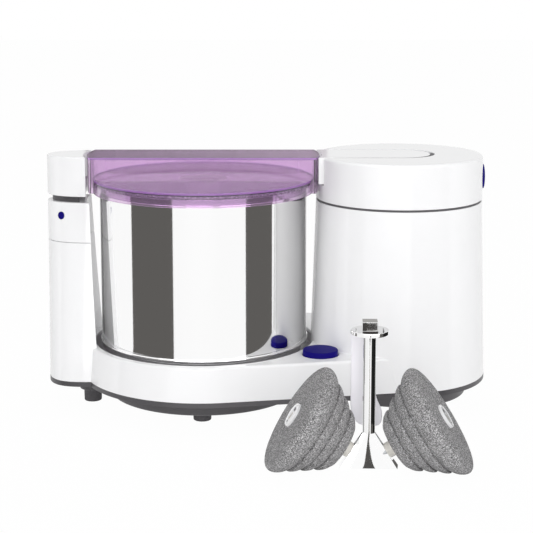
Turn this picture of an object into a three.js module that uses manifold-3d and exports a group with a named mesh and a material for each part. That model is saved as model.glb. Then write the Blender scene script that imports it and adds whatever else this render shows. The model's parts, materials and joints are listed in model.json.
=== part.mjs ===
// Table-top wet grinder with its stone assembly standing in front of it.
// Millimetres, +Z up. The machine is drawn round the drum's axis, with the tower at +X and the
// left column at -X, and the whole is then moved so that the middle of its footprint is the origin.
import * as THREE from "three";
import { mergeVertices } from "three/addons/utils/BufferGeometryUtils.js";
import Module from "manifold-3d";

const wasm = await Module();
wasm.setup();

// Faces round a full turn, by how large and how visible the round is.
const largeRoundSides = 40;
const mediumRoundSides = 20;
const smallRoundSides = 10;
const roundingSteps = 3;
const mergeDistance = 1e-3;

// Clearances that every fit shares.
const fitGap = 0.3;
const slideGap = 0.5;
const cutOverrun = 2;
const wall = 3;

// Feet and bottom tray.
const footRadius = 8.3;
const footHeight = 11.8;
const footTaper = 0.8;
const footRecessRadius = 4;
const footRecessDepth = 2;
const trayRim = 4.4;
const trayShelf = 3;
const bowlDepth = 14.7;
const drumBowlInset = 11.7;
const towerBowlRadius = 66;
const bowlDraft = 2;
const leftFootOffset = 2.5;
const leftFootBossRadius = 12;
const drumFootY = 60;
const towerFootX = 33;
const towerFootY = 42;

// Platform, tower and left column.
const platformRim = 10.3;
const platformHeight = 30.7;
const platformDraft = 3;
const platformFillet = 2.4;
const tangentInset = 33.2;
const towerLidGap = 2.1;
const towerTopRadius = 76.2;
const towerBottomRadius = 81.3;
const columnOffset = 7;
const columnHalfWidth = 40.4;
const columnDepthBottom = 48;
const columnDepthTop = 26;
const columnSquarenessBottom = 3;
const columnSquarenessTop = 2.05;
const columnShellHeight = 36;
const neckInset = 4.4;
const neckHeight = 5.4;
const lensRadius = 3.35;
const lensDepth = 4;
const lensProud = 0.5;
const lensDrop = 12;
const lensOffset = 25.7;

// Drum, its well and its drive.
const drumRadius = 95;
const drumSheet = 1.2;
const drumLidGap = 3.2;
const drumBottom = 54;
const drumCorner = 7;
const drumBeadHeight = 3;
const drumBeadProud = 1.2;
const drumBeadZ = 61.8;
const wellGap = 6.7;
const wellUndercut = 1;
const wellWall = 2.3;
const wellFloorTop = 48;
const wellDeck = 3;
const spindleRadius = 6;
const hubRadius = 24;
const hubSkirtRadius = 34;
const hubSkirtHeight = 2.5;
const stoneFloorThickness = 18;
const stoneFloorGap = 1;
const guidePinRadius = 7;
const guidePinHeight = 10;
const guidePinFlangeRadius = 14;
const guidePinFlange = 3;
const drivenPulleyRadius = 54;
const motorPulleyRadius = 7.5;
const pulleyFlange = 3;
const beltWidth = 6;
const beltThickness = 3;
const beltZ = 37;
const flangeThickness = 1.8;
const bearingOuterRadius = 14;
const bearingHeight = 6;
const bearingHousingRadius = 19;
const bearingFlangeRadius = 34;

// Motor in the tower.
const motorPlateRadius = 72;
const motorPlateThickness = 3;
const motorPlateZ = 58.3;
const motorPostRadius = 5;
const motorPostReach = 35.4;
const statorRadius = 42;
const statorHeight = 46;
const statorBore = 25;
const bracketHeight = 9;
const bracketArm = 12;
const shaftRadius = 4;
const fanRadius = 36;
const fanHeight = 14;
const fanBlades = 9;
const fanBlade = 2;
const capacitorRadius = 13;
const capacitorHeight = 44;
const capacitorX = 57;

// Tower cap, gasket and release button.
const grooveHeight = 2;
const gasketInset = 1.1;
const gasketWidth = 9;
const capFillet = 3;
const machineTop = 233.8;
const capHeight = 39.8;
const slotGap = 0.7;
const slotFloorGap = 1;
const slotBackGap = 1.5;
const releaseDrop = 20.8;
const releaseRadius = 11.5;
const releaseProud = 1.3;
const releaseDome = 0.6;
const releaseLength = 6;
const releaseStemRadius = 4;
const releaseTravel = 2.5;
const releaseTipGap = 8.6;
const guideThickness = 3;
const guideOffset = 6.2;
const guideHalfWidth = 12;

// Arm: white ends, see-through bridge and lid.
const armLidGap = 7.1;
const armColumnStep = 1.6;
const armTabReach = 2;
const armTabHalfWidth = 9;
const armTabDrop = 30.3;
const armTabHeight = 8;
const armHalfWidth = 29;
const armBlockHeight = 24.3;
const tailOffset = 2.6;
const hingeOffset = 1.5;
const hingeDrop = 4.8;
const hingePinRadius = 2;
const hingePinReach = 8;
const bridgeEndGap = 2;
const bridgeHalfWidth = 28.2;
const bridgeOverhang = 0.6;
const bridgeWall = 2.2;
const bridgeDepth = 32.8;
const bridgeRib = 1.6;
const bridgeRibInset = 14.7;
const bridgeCapGap = 1.2;
const lidOverhang = 6.3;
const lidThickness = 2;
const lidDrop = 22;
const lidDepth = 11.8;
const lidSkirt = 2.2;
const lidRimHeight = 1;
const lidRimWidth = 1.6;
const sealWidth = 4;
const sealHeight = 2;
const socketRadius = 14;
const socketFlangeRadius = 22;
const socketFlange = 2.5;
const socketDepth = 18;
const latchHookWidth = 14;
const latchHookThickness = 3;
const latchHookDrop = 16;
const latchHookBarb = 3;
const latchHookOffset = 21;
const latchHookSwing = 2.5;

// Power button.
const powerWellGap = 21.61;
const powerAzimuth = -30.725;
const powerRadius = 15.8;
const powerProud = 4.5;
const powerDepth = 6;
const powerEdge = 1;
const powerStemRadius = 4;
const switchCupWall = 1.3;
const switchCupFloor = 3;
const switchBottom = 38;
const springRadius = 8;
const springWire = 0.8;
const springTurns = 4;
const springStepsPerTurn = 8;
const springSides = 5;

// Gland for the mains cord, low on the back of the tower.
const glandZ = 46;
const glandRadius = 6.2;
const glandBore = 3.6;
const glandFlangeRadius = 9;
const glandFlange = 2;
const glandInside = 8;
const glandSleeve = 12;
const glandTipRadius = 4.8;

// Stone assembly, drawn round its own upright axis.
const assemblyX = 141.2;
const assemblyY = -185;
const assemblyTurn = -2;
const stemHalfWidth = 5.05;
const stemFacet = 1.05;
const footTopZ = 29.8;
const footBottomZ = 0.8;
const footFrontReach = 6.4;
const footFrontHalf = 4.4;
const footSideHalf = 7.5;
const discRadius = 15.5;
const discBottom = 112.4;
const discTop = 115.8;
const headHalf = 6.1;
const headTop = 123.2;
const headChamfer = 0.8;
const axleTilt = 33.22;
const axleSweep = 4.6;
const axleRadius = 4;
const axleSeat = 6;
const stoneRadius = 52.3;
const stoneSmallRadius = 22.9;
const stoneLength = 44.9;
const stoneDome = 4.1;
const stoneRounding = 12;
const stoneLayers = 4;
const stoneLayerHeight = 9.7;
const stoneLedge = 1.6;
const stoneLedgeRise = 0.9;
const bushRadius = 6.5;
const bushLength = 6;
const hubInsertRadius = 9;
const hubInsertRim = 11.5;
const hubInsertRimDepth = 3;
const hubInsertProud = 2;
const hubPocketRadius = 8;
const hubPocketDepth = 3;
const retainerRadius = 7;
const retainerThickness = 1.8;
const retainerSlotWidth = 2.6;
const retainerSlotDepth = 1;
const bladeThickness = 2.5;
const bladeLeft = 15;
const bladeRight = 5.3;
const bladeFin = 11;
const bladeTopGap = 0.3;
const bladeBottomZ = 35.2;
const bladeShoulderZ = 48.7;
const bladeFinZ = 42.7;
const bladeFinTopZ = 57.7;

// Heights that follow from the sizes above.
const housingBottom = footHeight + bowlDepth + trayRim;
const trayBandBottom = housingBottom - trayRim;
const trayFloorTop = footHeight + trayShelf;
const platformTop = housingBottom + platformHeight;
const deckUnderside = platformTop - wall;
const capBottom = machineTop - capHeight;
const housingTop = capBottom - grooveHeight;
const columnSeam = housingTop - columnShellHeight;
const lensZ = housingTop - lensDrop;
const armEndBottom = housingTop + neckHeight;
const armUnderside = machineTop - armBlockHeight;
const armTabZ = machineTop - armTabDrop;
const hingeZ = machineTop - hingeDrop;
const releaseZ = machineTop - releaseDrop;
const slotFloorZ = armUnderside - slotFloorGap;
const bridgeBottom = machineTop - bridgeDepth;
const lidTop = machineTop - lidDrop;
const lidBottom = lidTop - lidDepth;
const lidUnderside = lidTop - lidThickness;
const drumTop = lidUnderside - drumLidGap;

// Radii that follow from the drum's.
const lidRadius = drumRadius + lidOverhang;
const wellRadius = drumRadius + wellGap;
const wellInnerRadius = wellRadius + wellUndercut;
const wellOuterRadius = wellInnerRadius + wellWall;
const platformRadius = wellRadius + platformRim;
const drumBowlRadius = wellRadius - drumBowlInset;
const slotHalfWidth = armHalfWidth + slotGap;

// Places that follow from these radii, with the drum's axis at zero.
const armRadius = lidRadius + armLidGap;
const bridgeRadius = armRadius - bridgeEndGap;
const bridgeRibX = lidRadius - bridgeRibInset;
const columnInnerRadius = armRadius + armColumnStep;
const columnX = columnOffset - columnInnerRadius;
const leftFootX = columnX - leftFootOffset;
const latchHookX = columnX - latchHookOffset;
const towerX = lidRadius + towerTopRadius + towerLidGap;
const tailCentreX = towerX + tailOffset;
const hingeX = tailCentreX + hingeOffset;
const releaseTipX = tailCentreX + armHalfWidth + releaseTipGap;
const guideX = releaseTipX + guideOffset;
const powerReach = wellRadius + powerWellGap;
const powerX = powerReach * Math.cos(THREE.MathUtils.degToRad(powerAzimuth));
const powerY = powerReach * Math.sin(THREE.MathUtils.degToRad(powerAzimuth));

// Materials.
const whitePlastic = new THREE.MeshStandardMaterial({ color: 0xf2f2f3, roughness: 0.25, metalness: 0 });
const darkPlastic = new THREE.MeshStandardMaterial({ color: 0x525053, roughness: 0.5, metalness: 0 });
const bluePlastic = new THREE.MeshStandardMaterial({ color: 0x1f1a63, roughness: 0.3, metalness: 0 });
const lilacPlastic = new THREE.MeshStandardMaterial({
  color: 0xc9a3d2,
  roughness: 0.15,
  metalness: 0,
  transparent: true,
  opacity: 0.6,
});
const rubber = new THREE.MeshStandardMaterial({ color: 0x5c5a5d, roughness: 0.8, metalness: 0 });
const mirrorSteel = new THREE.MeshStandardMaterial({ color: 0xd8d8d8, roughness: 0.08, metalness: 1 });
const plainSteel = new THREE.MeshStandardMaterial({ color: 0xa9abae, roughness: 0.35, metalness: 1 });
const copper = new THREE.MeshStandardMaterial({ color: 0x8c5a3c, roughness: 0.4, metalness: 0.8 });
const granite = new THREE.MeshStandardMaterial({ color: 0x8d8c8c, roughness: 0.9, metalness: 0 });

// A closed solid from a three.js geometry, with shared corners merged and its faces turned outwards.
function solid(geometry) {
  const loose = geometry.index ? geometry.toNonIndexed() : geometry.clone();
  loose.deleteAttribute("normal");
  loose.deleteAttribute("uv");
  const merged = mergeVertices(loose, mergeDistance);
  const corners = [];
  for (let i = 0; i < merged.index.count; i += 3) {
    const [a, b, c] = merged.index.array.slice(i, i + 3);
    if (a !== b && b !== c && c !== a) corners.push(a, b, c);
  }
  const vertProperties = new Float32Array(merged.attributes.position.array);
  const build = (triVerts) => new wasm.Manifold(new wasm.Mesh({ numProp: 3, vertProperties, triVerts }));
  const made = build(new Uint32Array(corners));
  return made.volume() < 0 ? build(new Uint32Array(corners.reverse())) : made;
}

// Joins all the solids in a list.
function union(solids) {
  return solids.reduce((whole, next) => whole.add(next));
}

// Cuts every solid in a list from a body.
function cut(body, cutters) {
  return cutters.reduce((whole, next) => whole.subtract(next), body);
}

// The mesh geometry of a finished solid.
function geometryOf(body) {
  const mesh = body.getMesh();
  const geometry = new THREE.BufferGeometry();
  geometry.setAttribute("position", new THREE.BufferAttribute(mesh.vertProperties, mesh.numProp));
  geometry.setIndex(new THREE.BufferAttribute(mesh.triVerts, 1));
  geometry.computeVertexNormals();
  return geometry;
}

// A body turned round Z from a closed outline of [radius, height] points.
function turned(outline, sides) {
  const points = outline.map(([radius, height]) => new THREE.Vector2(Math.max(radius, 0), height));
  const onAxis = points[0].x === 0 && points.at(-1).x === 0;
  if (!onAxis) points.push(points[0].clone());
  return solid(new THREE.LatheGeometry(points, sides).rotateX(Math.PI / 2));
}

// A disc or, with a bore, a ring.
function disc(radius, bottom, top, sides, bore = 0) {
  return turned(
    [
      [bore, bottom],
      [radius, bottom],
      [radius, top],
      [bore, top],
    ],
    sides,
  );
}

// A disc at a place in plan.
function discAt(x, y, radius, bottom, top, sides, bore = 0) {
  return disc(radius, bottom, top, sides, bore).translate([x, y, 0]);
}

// A box between two corners.
function block([x0, y0, z0], [x1, y1, z1]) {
  const box = new THREE.BoxGeometry(x1 - x0, y1 - y0, z1 - z0);
  return solid(box.translate((x0 + x1) / 2, (y0 + y1) / 2, (z0 + z1) / 2));
}

// A flat outline raised from one height to another.
function prism(shape, bottom, top, curveSegments = smallRoundSides) {
  const raised = new THREE.ExtrudeGeometry(shape, {
    depth: top - bottom,
    bevelEnabled: false,
    curveSegments,
  });
  return solid(raised.translate(0, 0, bottom));
}

// A body through rings of equal length, each a list of Vector3, with flat ends.
function loft(rings) {
  const count = rings[0].length;
  const positions = rings.flat().flatMap((point) => [point.x, point.y, point.z]);
  const index = [];
  for (let r = 0; r + 1 < rings.length; r++) {
    for (let i = 0; i < count; i++) {
      const next = (i + 1) % count;
      const [low, lowNext] = [r * count + i, r * count + next];
      const [high, highNext] = [low + count, lowNext + count];
      index.push(low, lowNext, highNext, low, highNext, high);
    }
  }
  const flat = (ring) => ring.map((p) => new THREE.Vector2(p.x, p.y));
  const capOf = (ring) => THREE.ShapeUtils.triangulateShape(flat(ring), []);
  const last = (rings.length - 1) * count;
  for (const [a, b, c] of capOf(rings[0])) index.push(a, c, b);
  for (const [a, b, c] of capOf(rings.at(-1))) index.push(last + a, last + b, last + c);
  const geometry = new THREE.BufferGeometry();
  geometry.setAttribute("position", new THREE.Float32BufferAttribute(positions, 3));
  geometry.setIndex(index);
  return solid(geometry);
}

// A round bar along X or along Y.
function barX(radius, x0, x1, y, z, sides) {
  return disc(radius, x0, x1, sides).rotate([0, 90, 0]).translate([0, y, z]);
}

function barY(radius, y0, y1, x, z, sides) {
  return disc(radius, y0, y1, sides).rotate([-90, 0, 0]).translate([x, 0, z]);
}

const machine = new THREE.Group();

// Adds a finished solid to a group as a named mesh.
function addPart(name, body, material, group = machine) {
  const mesh = new THREE.Mesh(geometryOf(body), material);
  mesh.name = name;
  group.add(mesh);
}

// Plan of the platform: a round at the drum, a smaller one at the tower, and their common tangents.
function platformRing(radius, z) {
  const towerRadius = radius - tangentInset;
  const tangent = Math.acos((radius - towerRadius) / towerX);
  const ring = [];
  const drumSteps = Math.round((largeRoundSides * (Math.PI - tangent)) / Math.PI);
  for (let i = 0; i <= drumSteps; i++) {
    const angle = tangent + ((2 * Math.PI - 2 * tangent) * i) / drumSteps;
    ring.push(new THREE.Vector3(radius * Math.cos(angle), radius * Math.sin(angle), z));
  }
  const towerSteps = largeRoundSides / 4;
  for (let i = 0; i <= towerSteps; i++) {
    const angle = -tangent + (2 * tangent * i) / towerSteps;
    ring.push(new THREE.Vector3(towerX + towerRadius * Math.cos(angle), towerRadius * Math.sin(angle), z));
  }
  return ring;
}

// Height as a share of the way from the housing's bottom to its top.
function heightShare(z) {
  return (z - housingBottom) / (housingTop - housingBottom);
}

function towerRadiusAt(z) {
  return THREE.MathUtils.lerp(towerBottomRadius, towerTopRadius, heightShare(z));
}

function columnDepthAt(z) {
  return THREE.MathUtils.lerp(columnDepthBottom, columnDepthTop, heightShare(z));
}

function columnSquarenessAt(z) {
  const share = Math.min(heightShare(z), 1);
  return THREE.MathUtils.lerp(columnSquarenessBottom, columnSquarenessTop, share);
}

// Plan of the left column, a rounded oblong that gets rounder and thinner upwards.
function columnRing(z, inset = 0) {
  const depth = columnDepthAt(Math.min(z, housingTop)) - inset;
  const width = columnHalfWidth - inset;
  const power = 2 / columnSquarenessAt(z);
  const ring = [];
  for (let i = 0; i < mediumRoundSides; i++) {
    const angle = (2 * Math.PI * i) / mediumRoundSides;
    const [c, s] = [Math.cos(angle), Math.sin(angle)];
    const x = columnX + width * Math.sign(c) * Math.abs(c) ** power;
    ring.push(new THREE.Vector3(x, depth * Math.sign(s) * Math.abs(s) ** power, z));
  }
  return ring;
}

// The column between two heights, drawn in by an inset.
function columnBody(bottom, top, inset = 0) {
  const middle = (bottom + top) / 2;
  return loft([columnRing(bottom, inset), columnRing(middle, inset), columnRing(top, inset)]);
}

// The round space that the column and the arm leave for the drum and the lid.
function drumSpace(radius, bottom, top) {
  return disc(radius, bottom, top, largeRoundSides);
}

// White moulding of the platform, the tower and the lower part of the left column.
function baseHousing() {
  const filletRings = [];
  for (let i = 0; i <= roundingSteps; i++) {
    const angle = ((Math.PI / 2) * i) / roundingSteps;
    const inset = platformDraft + platformFillet * (1 - Math.cos(angle));
    const z = platformTop - platformFillet * (1 - Math.sin(angle));
    filletRings.push(platformRing(platformRadius - inset, z));
  }
  const platform = loft([platformRing(platformRadius, housingBottom), ...filletRings]);
  const towerWall = [
    [0, housingBottom],
    [towerBottomRadius, housingBottom],
    [towerTopRadius, housingTop],
    [0, housingTop],
  ];
  const tower = turned(towerWall, largeRoundSides).translate([towerX, 0, 0]);
  const columnTop = columnSeam;
  const column = columnBody(housingBottom, columnTop).subtract(
    drumSpace(columnInnerRadius, platformTop, columnTop + cutOverrun),
  );
  const below = housingBottom - cutOverrun;
  const platformHollow = loft([
    platformRing(platformRadius - wall, below),
    platformRing(platformRadius - platformDraft - wall, deckUnderside),
  ]);
  const towerHollow = turned(
    [
      [0, below],
      [towerBottomRadius - wall, below],
      [towerTopRadius - wall, housingTop - wall],
      [0, housingTop - wall],
    ],
    largeRoundSides,
  ).translate([towerX, 0, 0]);
  const columnHollow = columnBody(below, columnTop - wall, wall).subtract(
    drumSpace(columnInnerRadius + wall, deckUnderside, columnTop + cutOverrun),
  );
  return cut(union([platform, tower, column]), [
    platformHollow,
    towerHollow,
    columnHollow,
    disc(wellRadius, deckUnderside - cutOverrun, platformTop + cutOverrun, largeRoundSides),
    discAt(
      powerX,
      powerY,
      powerRadius + slideGap,
      deckUnderside - cutOverrun,
      platformTop + cutOverrun,
      mediumRoundSides,
    ),
    discAt(
      towerX,
      0,
      towerTopRadius - gasketWidth - wall,
      housingTop - wall - cutOverrun,
      housingTop + cutOverrun,
      mediumRoundSides,
    ),
    barY(glandRadius + fitGap, 0, towerBottomRadius + cutOverrun, towerX, glandZ, smallRoundSides),
  ]);
}

// Plan outline of the tray's band, flush with the housing above it.
function trayBand(bottom, top, inset) {
  const platform = loft([
    platformRing(platformRadius - inset, bottom),
    platformRing(platformRadius - inset, top),
  ]);
  const tower = discAt(towerX, 0, towerBottomRadius - inset, bottom, top, largeRoundSides);
  const ring = columnRing(housingBottom, inset);
  const column = loft([bottom, top].map((z) => ring.map((p) => new THREE.Vector3(p.x, p.y, z))));
  return union([platform, tower, column]);
}

// A bowl of the tray, open upwards.
function bowl(x, radius, inset, bottom) {
  return turned(
    [
      [0, bottom],
      [radius - inset - bowlDraft, bottom],
      [radius - inset, trayBandBottom + trayShelf + (inset > 0 ? cutOverrun : 0)],
      [0, trayBandBottom + trayShelf + (inset > 0 ? cutOverrun : 0)],
    ],
    largeRoundSides,
  ).translate([x, 0, 0]);
}

// Dark tray that closes the housing from below, with its bowls, foot boss and motor posts.
function bottomTray() {
  const shelfTop = trayBandBottom + trayShelf;
  const hollowTop = housingBottom + cutOverrun;
  const boss = discAt(leftFootX, 0, leftFootBossRadius, footHeight, shelfTop, smallRoundSides);
  const shell = cut(
    union([
      trayBand(trayBandBottom, housingBottom, 0),
      bowl(0, drumBowlRadius, 0, footHeight),
      bowl(towerX, towerBowlRadius, 0, footHeight),
      boss,
    ]),
    [
      trayBand(shelfTop, hollowTop, wall),
      bowl(0, drumBowlRadius, trayShelf, trayFloorTop),
      bowl(towerX, towerBowlRadius, trayShelf, trayFloorTop),
    ],
  );
  const posts = [];
  for (const sx of [-1, 1]) {
    for (const sy of [-1, 1]) {
      const [x, y] = [towerX + sx * motorPostReach, sy * motorPostReach];
      posts.push(discAt(x, y, motorPostRadius, footHeight, motorPlateZ, smallRoundSides));
    }
  }
  return union([shell, ...posts]);
}

// Rubber foot with a screw recess below.
function rubberFoot() {
  return turned(
    [
      [0, footRecessDepth],
      [footRecessRadius, footRecessDepth],
      [footRecessRadius, 0],
      [footRadius - footTaper, 0],
      [footRadius, footTaper],
      [footRadius, footHeight],
      [0, footHeight],
    ],
    smallRoundSides,
  );
}

// Dark cup below the platform's opening.
function drumWell() {
  const bottom = wellFloorTop - wellDeck;
  return turned(
    [
      [hubRadius + slideGap, bottom],
      [wellOuterRadius, bottom],
      [wellOuterRadius, deckUnderside],
      [wellInnerRadius, deckUnderside],
      [wellInnerRadius, wellFloorTop],
      [hubRadius + slideGap, wellFloorTop],
    ],
    largeRoundSides,
  );
}

// Upper white shell of the left column, above the thin seam.
function columnShell() {
  const bottom = columnSeam + fitGap;
  const outer = columnBody(bottom, housingTop).subtract(
    drumSpace(columnInnerRadius, bottom - cutOverrun, housingTop + cutOverrun),
  );
  const hollow = columnBody(bottom - cutOverrun, housingTop - wall, wall).subtract(
    drumSpace(columnInnerRadius + wall, bottom - cutOverrun, housingTop + cutOverrun),
  );
  const lensHole = lensBar(lensRadius + fitGap, -lensDepth - cutOverrun, cutOverrun);
  return cut(outer, [hollow, lensHole, hookPocket()]);
}

// A bar along the normal of the column's face at the pilot lamp, from one depth to another.
function lensBar(radius, from, to) {
  const power = columnSquarenessAt(lensZ);
  const depth = columnDepthAt(lensZ);
  const across = lensOffset / columnHalfWidth;
  const along = (1 - across ** power) ** (1 / power);
  const normalX = -(across ** (power - 1)) / columnHalfWidth;
  const normalY = -(along ** (power - 1)) / depth;
  const turn = THREE.MathUtils.radToDeg(Math.atan2(normalY, normalX));
  return disc(radius, from, to, smallRoundSides)
    .rotate([0, 90, 0])
    .rotate([0, 0, turn])
    .translate([columnX - lensOffset, -depth * along, lensZ]);
}

// The space in the column that the arm's latch hook drops into and swings out of.
function hookPocket() {
  const half = latchHookWidth / 2 + slideGap;
  const left = latchHookX - latchHookThickness - latchHookBarb - latchHookSwing;
  return block(
    [left, -half, housingTop - wall - cutOverrun],
    [latchHookX + slideGap + latchHookThickness, half, armEndBottom],
  );
}

// Dark neck between the column and the arm, with the hook's opening.
function latchNeck() {
  const outer = columnBody(housingTop, armEndBottom - fitGap, neckInset);
  const space = drumSpace(columnInnerRadius + neckInset, housingTop - cutOverrun, armEndBottom);
  return cut(outer, [space, hookPocket()]);
}

// Thin dark ring between the tower and its cap.
function towerGasket() {
  const radius = towerTopRadius - gasketInset;
  return discAt(towerX, 0, radius, housingTop, capBottom, largeRoundSides, radius - gasketWidth);
}

// Plan of the arm's tail: straight sides and a round end.
function tailShape(halfWidth, left) {
  const shape = new THREE.Shape();
  shape.moveTo(left, -halfWidth);
  shape.lineTo(tailCentreX, -halfWidth);
  shape.absarc(tailCentreX, 0, halfWidth, -Math.PI / 2, Math.PI / 2, false);
  shape.lineTo(left, halfWidth);
  shape.closePath();
  return shape;
}

// Farthest corner of the tail from the hinge pin, which sweeps the space below the slot.
const tailSweep = Math.hypot(tailCentreX + armHalfWidth - hingeX, hingeZ - armUnderside);
const sweepFloorZ = hingeZ - tailSweep - slideGap;

// The slot in the cap and the swept space below it.
function capSlot() {
  const slot = prism(tailShape(slotHalfWidth, 0), slotFloorZ, machineTop + cutOverrun);
  const sweep = barY(tailSweep + slideGap, -slotHalfWidth, slotHalfWidth, hingeX, hingeZ, mediumRoundSides);
  const keep = block(
    [hingeX - (hingeZ - armUnderside) - slotBackGap, -slotHalfWidth, sweepFloorZ - cutOverrun],
    [hingeX + tailSweep + slideGap, slotHalfWidth, machineTop + cutOverrun],
  );
  const bounded = prism(tailShape(slotHalfWidth, 0), sweepFloorZ - cutOverrun, machineTop + cutOverrun);
  return slot.add(sweep.intersect(keep).intersect(bounded));
}

// Outer form of the cap, less a wall where it is hollow.
function capForm(inset, bottom) {
  const rim = capFillet;
  const top = machineTop - inset;
  const radius = towerTopRadius - inset;
  const outline = [[0, bottom], [radius, bottom]];
  for (let i = 0; i <= roundingSteps; i++) {
    const angle = ((Math.PI / 2) * i) / roundingSteps;
    outline.push([radius - rim * (1 - Math.cos(angle)), top - rim * (1 - Math.sin(angle))]);
  }
  outline.push([0, top]);
  return turned(outline, largeRoundSides).translate([towerX, 0, 0]);
}

// White cap of the tower: shell, trough for the arm's tail, guide of the release button.
function towerCap() {
  const shell = capForm(0, capBottom).subtract(capForm(wall, capBottom - cutOverrun));
  const troughShape = tailShape(slotHalfWidth + wall, towerX - towerTopRadius - cutOverrun);
  const trough = prism(troughShape, capBottom, machineTop).intersect(capForm(0, capBottom));
  const guide = block(
    [guideX, -guideHalfWidth, capBottom + wall],
    [guideX + guideThickness, guideHalfWidth, machineTop - wall / 2],
  );
  const outside = towerX + towerTopRadius + cutOverrun;
  const behindGuide = guideX + guideThickness + cutOverrun;
  const stemStart = releaseTipX - releaseTravel;
  const pinEnd = slotHalfWidth + hingePinReach;
  return cut(union([shell, trough, guide]), [
    capSlot(),
    barY(hingePinRadius + fitGap, -pinEnd, pinEnd, hingeX, hingeZ, smallRoundSides),
    barX(releaseRadius + slideGap, behindGuide, outside, 0, releaseZ, mediumRoundSides),
    barX(releaseStemRadius + fitGap, stemStart, outside, 0, releaseZ, smallRoundSides),
  ]);
}

// Blue release button with its stem, drawn along X.
function releaseButton() {
  const face = towerX + towerTopRadius + releaseProud;
  const outline = [
    [0, releaseTipX],
    [releaseStemRadius, releaseTipX],
    [releaseStemRadius, face - releaseLength],
    [releaseRadius, face - releaseLength],
    [releaseRadius, face - releaseDome],
    [releaseRadius - releaseDome, face],
    [0, face + releaseDome],
  ];
  return turned(outline, mediumRoundSides).rotate([0, 90, 0]).translate([0, 0, releaseZ]);
}

// Blue power button: a cap with a rounded edge on a stem.
function powerButton() {
  const top = platformTop + powerProud;
  const bottom = platformTop - powerDepth;
  return turned(
    [
      [0, bottom - powerDepth / 2],
      [powerStemRadius, bottom - powerDepth / 2],
      [powerStemRadius, bottom],
      [powerRadius, bottom],
      [powerRadius, top - powerEdge],
      [powerRadius - powerEdge, top],
      [0, top],
    ],
    mediumRoundSides,
  ).translate([powerX, powerY, 0]);
}

// Cup below the platform that holds the power button, its spring and its contacts.
function switchBody() {
  const inner = powerRadius + slideGap;
  return turned(
    [
      [0, switchBottom],
      [inner + switchCupWall, switchBottom],
      [inner + switchCupWall, deckUnderside],
      [inner, deckUnderside],
      [inner, switchBottom + switchCupFloor],
      [0, switchBottom + switchCupFloor],
    ],
    mediumRoundSides,
  ).translate([powerX, powerY, 0]);
}

// An unbroken coil of round wire whose ends lie at the two heights.
function coil(radius, wire, bottom, top, turns) {
  class Helix extends THREE.Curve {
    getPoint(t, target = new THREE.Vector3()) {
      const angle = 2 * Math.PI * turns * t;
      const z = THREE.MathUtils.lerp(bottom + wire, top - wire, t);
      return target.set(radius * Math.cos(angle), radius * Math.sin(angle), z);
    }
  }
  const section = new THREE.Shape();
  for (let i = 0; i < springSides; i++) {
    const angle = (2 * Math.PI * i) / springSides;
    const point = [wire * Math.cos(angle), wire * Math.sin(angle)];
    if (i === 0) section.moveTo(...point);
    else section.lineTo(...point);
  }
  section.closePath();
  const steps = turns * springStepsPerTurn;
  return solid(new THREE.ExtrudeGeometry(section, { steps, extrudePath: new Helix(), bevelEnabled: false }));
}

// Rubber gland through the back wall: flange, tapered sleeve and an open bore for the cord.
function cordGland() {
  const face = towerRadiusAt(glandZ - glandFlangeRadius) + fitGap;
  const end = face + glandFlange + glandSleeve;
  return turned(
    [
      [glandBore, face - glandInside],
      [glandRadius, face - glandInside],
      [glandRadius, face],
      [glandFlangeRadius, face],
      [glandFlangeRadius, face + glandFlange],
      [glandRadius, face + glandFlange],
      [glandTipRadius, end],
      [glandBore, end],
    ],
    smallRoundSides,
  )
    .rotate([-90, 0, 0])
    .translate([towerX, 0, glandZ]);
}

addPart("base_housing", baseHousing(), whitePlastic);
addPart("bottom_tray", bottomTray(), darkPlastic);
addPart("drum_well", drumWell(), darkPlastic);
addPart("column_shell", columnShell(), whitePlastic);
addPart("latch_neck", latchNeck(), darkPlastic);
addPart("pilot_lens", lensBar(lensRadius, -lensDepth, lensProud), bluePlastic);
addPart("tower_gasket", towerGasket(), rubber);
addPart("tower_cap", towerCap(), whitePlastic);

const footPlaces = [
  ["foot_left", leftFootX, 0],
  ["foot_drum_front", 0, -drumFootY],
  ["foot_drum_rear", 0, drumFootY],
  ["foot_tower_front", towerX + towerFootX, -towerFootY],
  ["foot_tower_rear", towerX + towerFootX, towerFootY],
];
for (const [name, x, y] of footPlaces) addPart(name, rubberFoot().translate([x, y, 0]), rubber);

addPart("release_button", releaseButton(), bluePlastic);
addPart("power_button", powerButton(), bluePlastic);
addPart("switch_body", switchBody(), darkPlastic);
const springBottom = switchBottom + switchCupFloor;
const springTop = platformTop - powerDepth;
const buttonSpring = coil(springRadius, springWire, springBottom, springTop, springTurns);
addPart("power_button_spring", buttonSpring.translate([powerX, powerY, 0]), plainSteel);
addPart("cord_gland", cordGland(), rubber);
const pinHalf = slotHalfWidth + hingePinReach - fitGap;
addPart("hinge_pin", barY(hingePinRadius, -pinHalf, pinHalf, hingeX, hingeZ, smallRoundSides), plainSteel);

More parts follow.
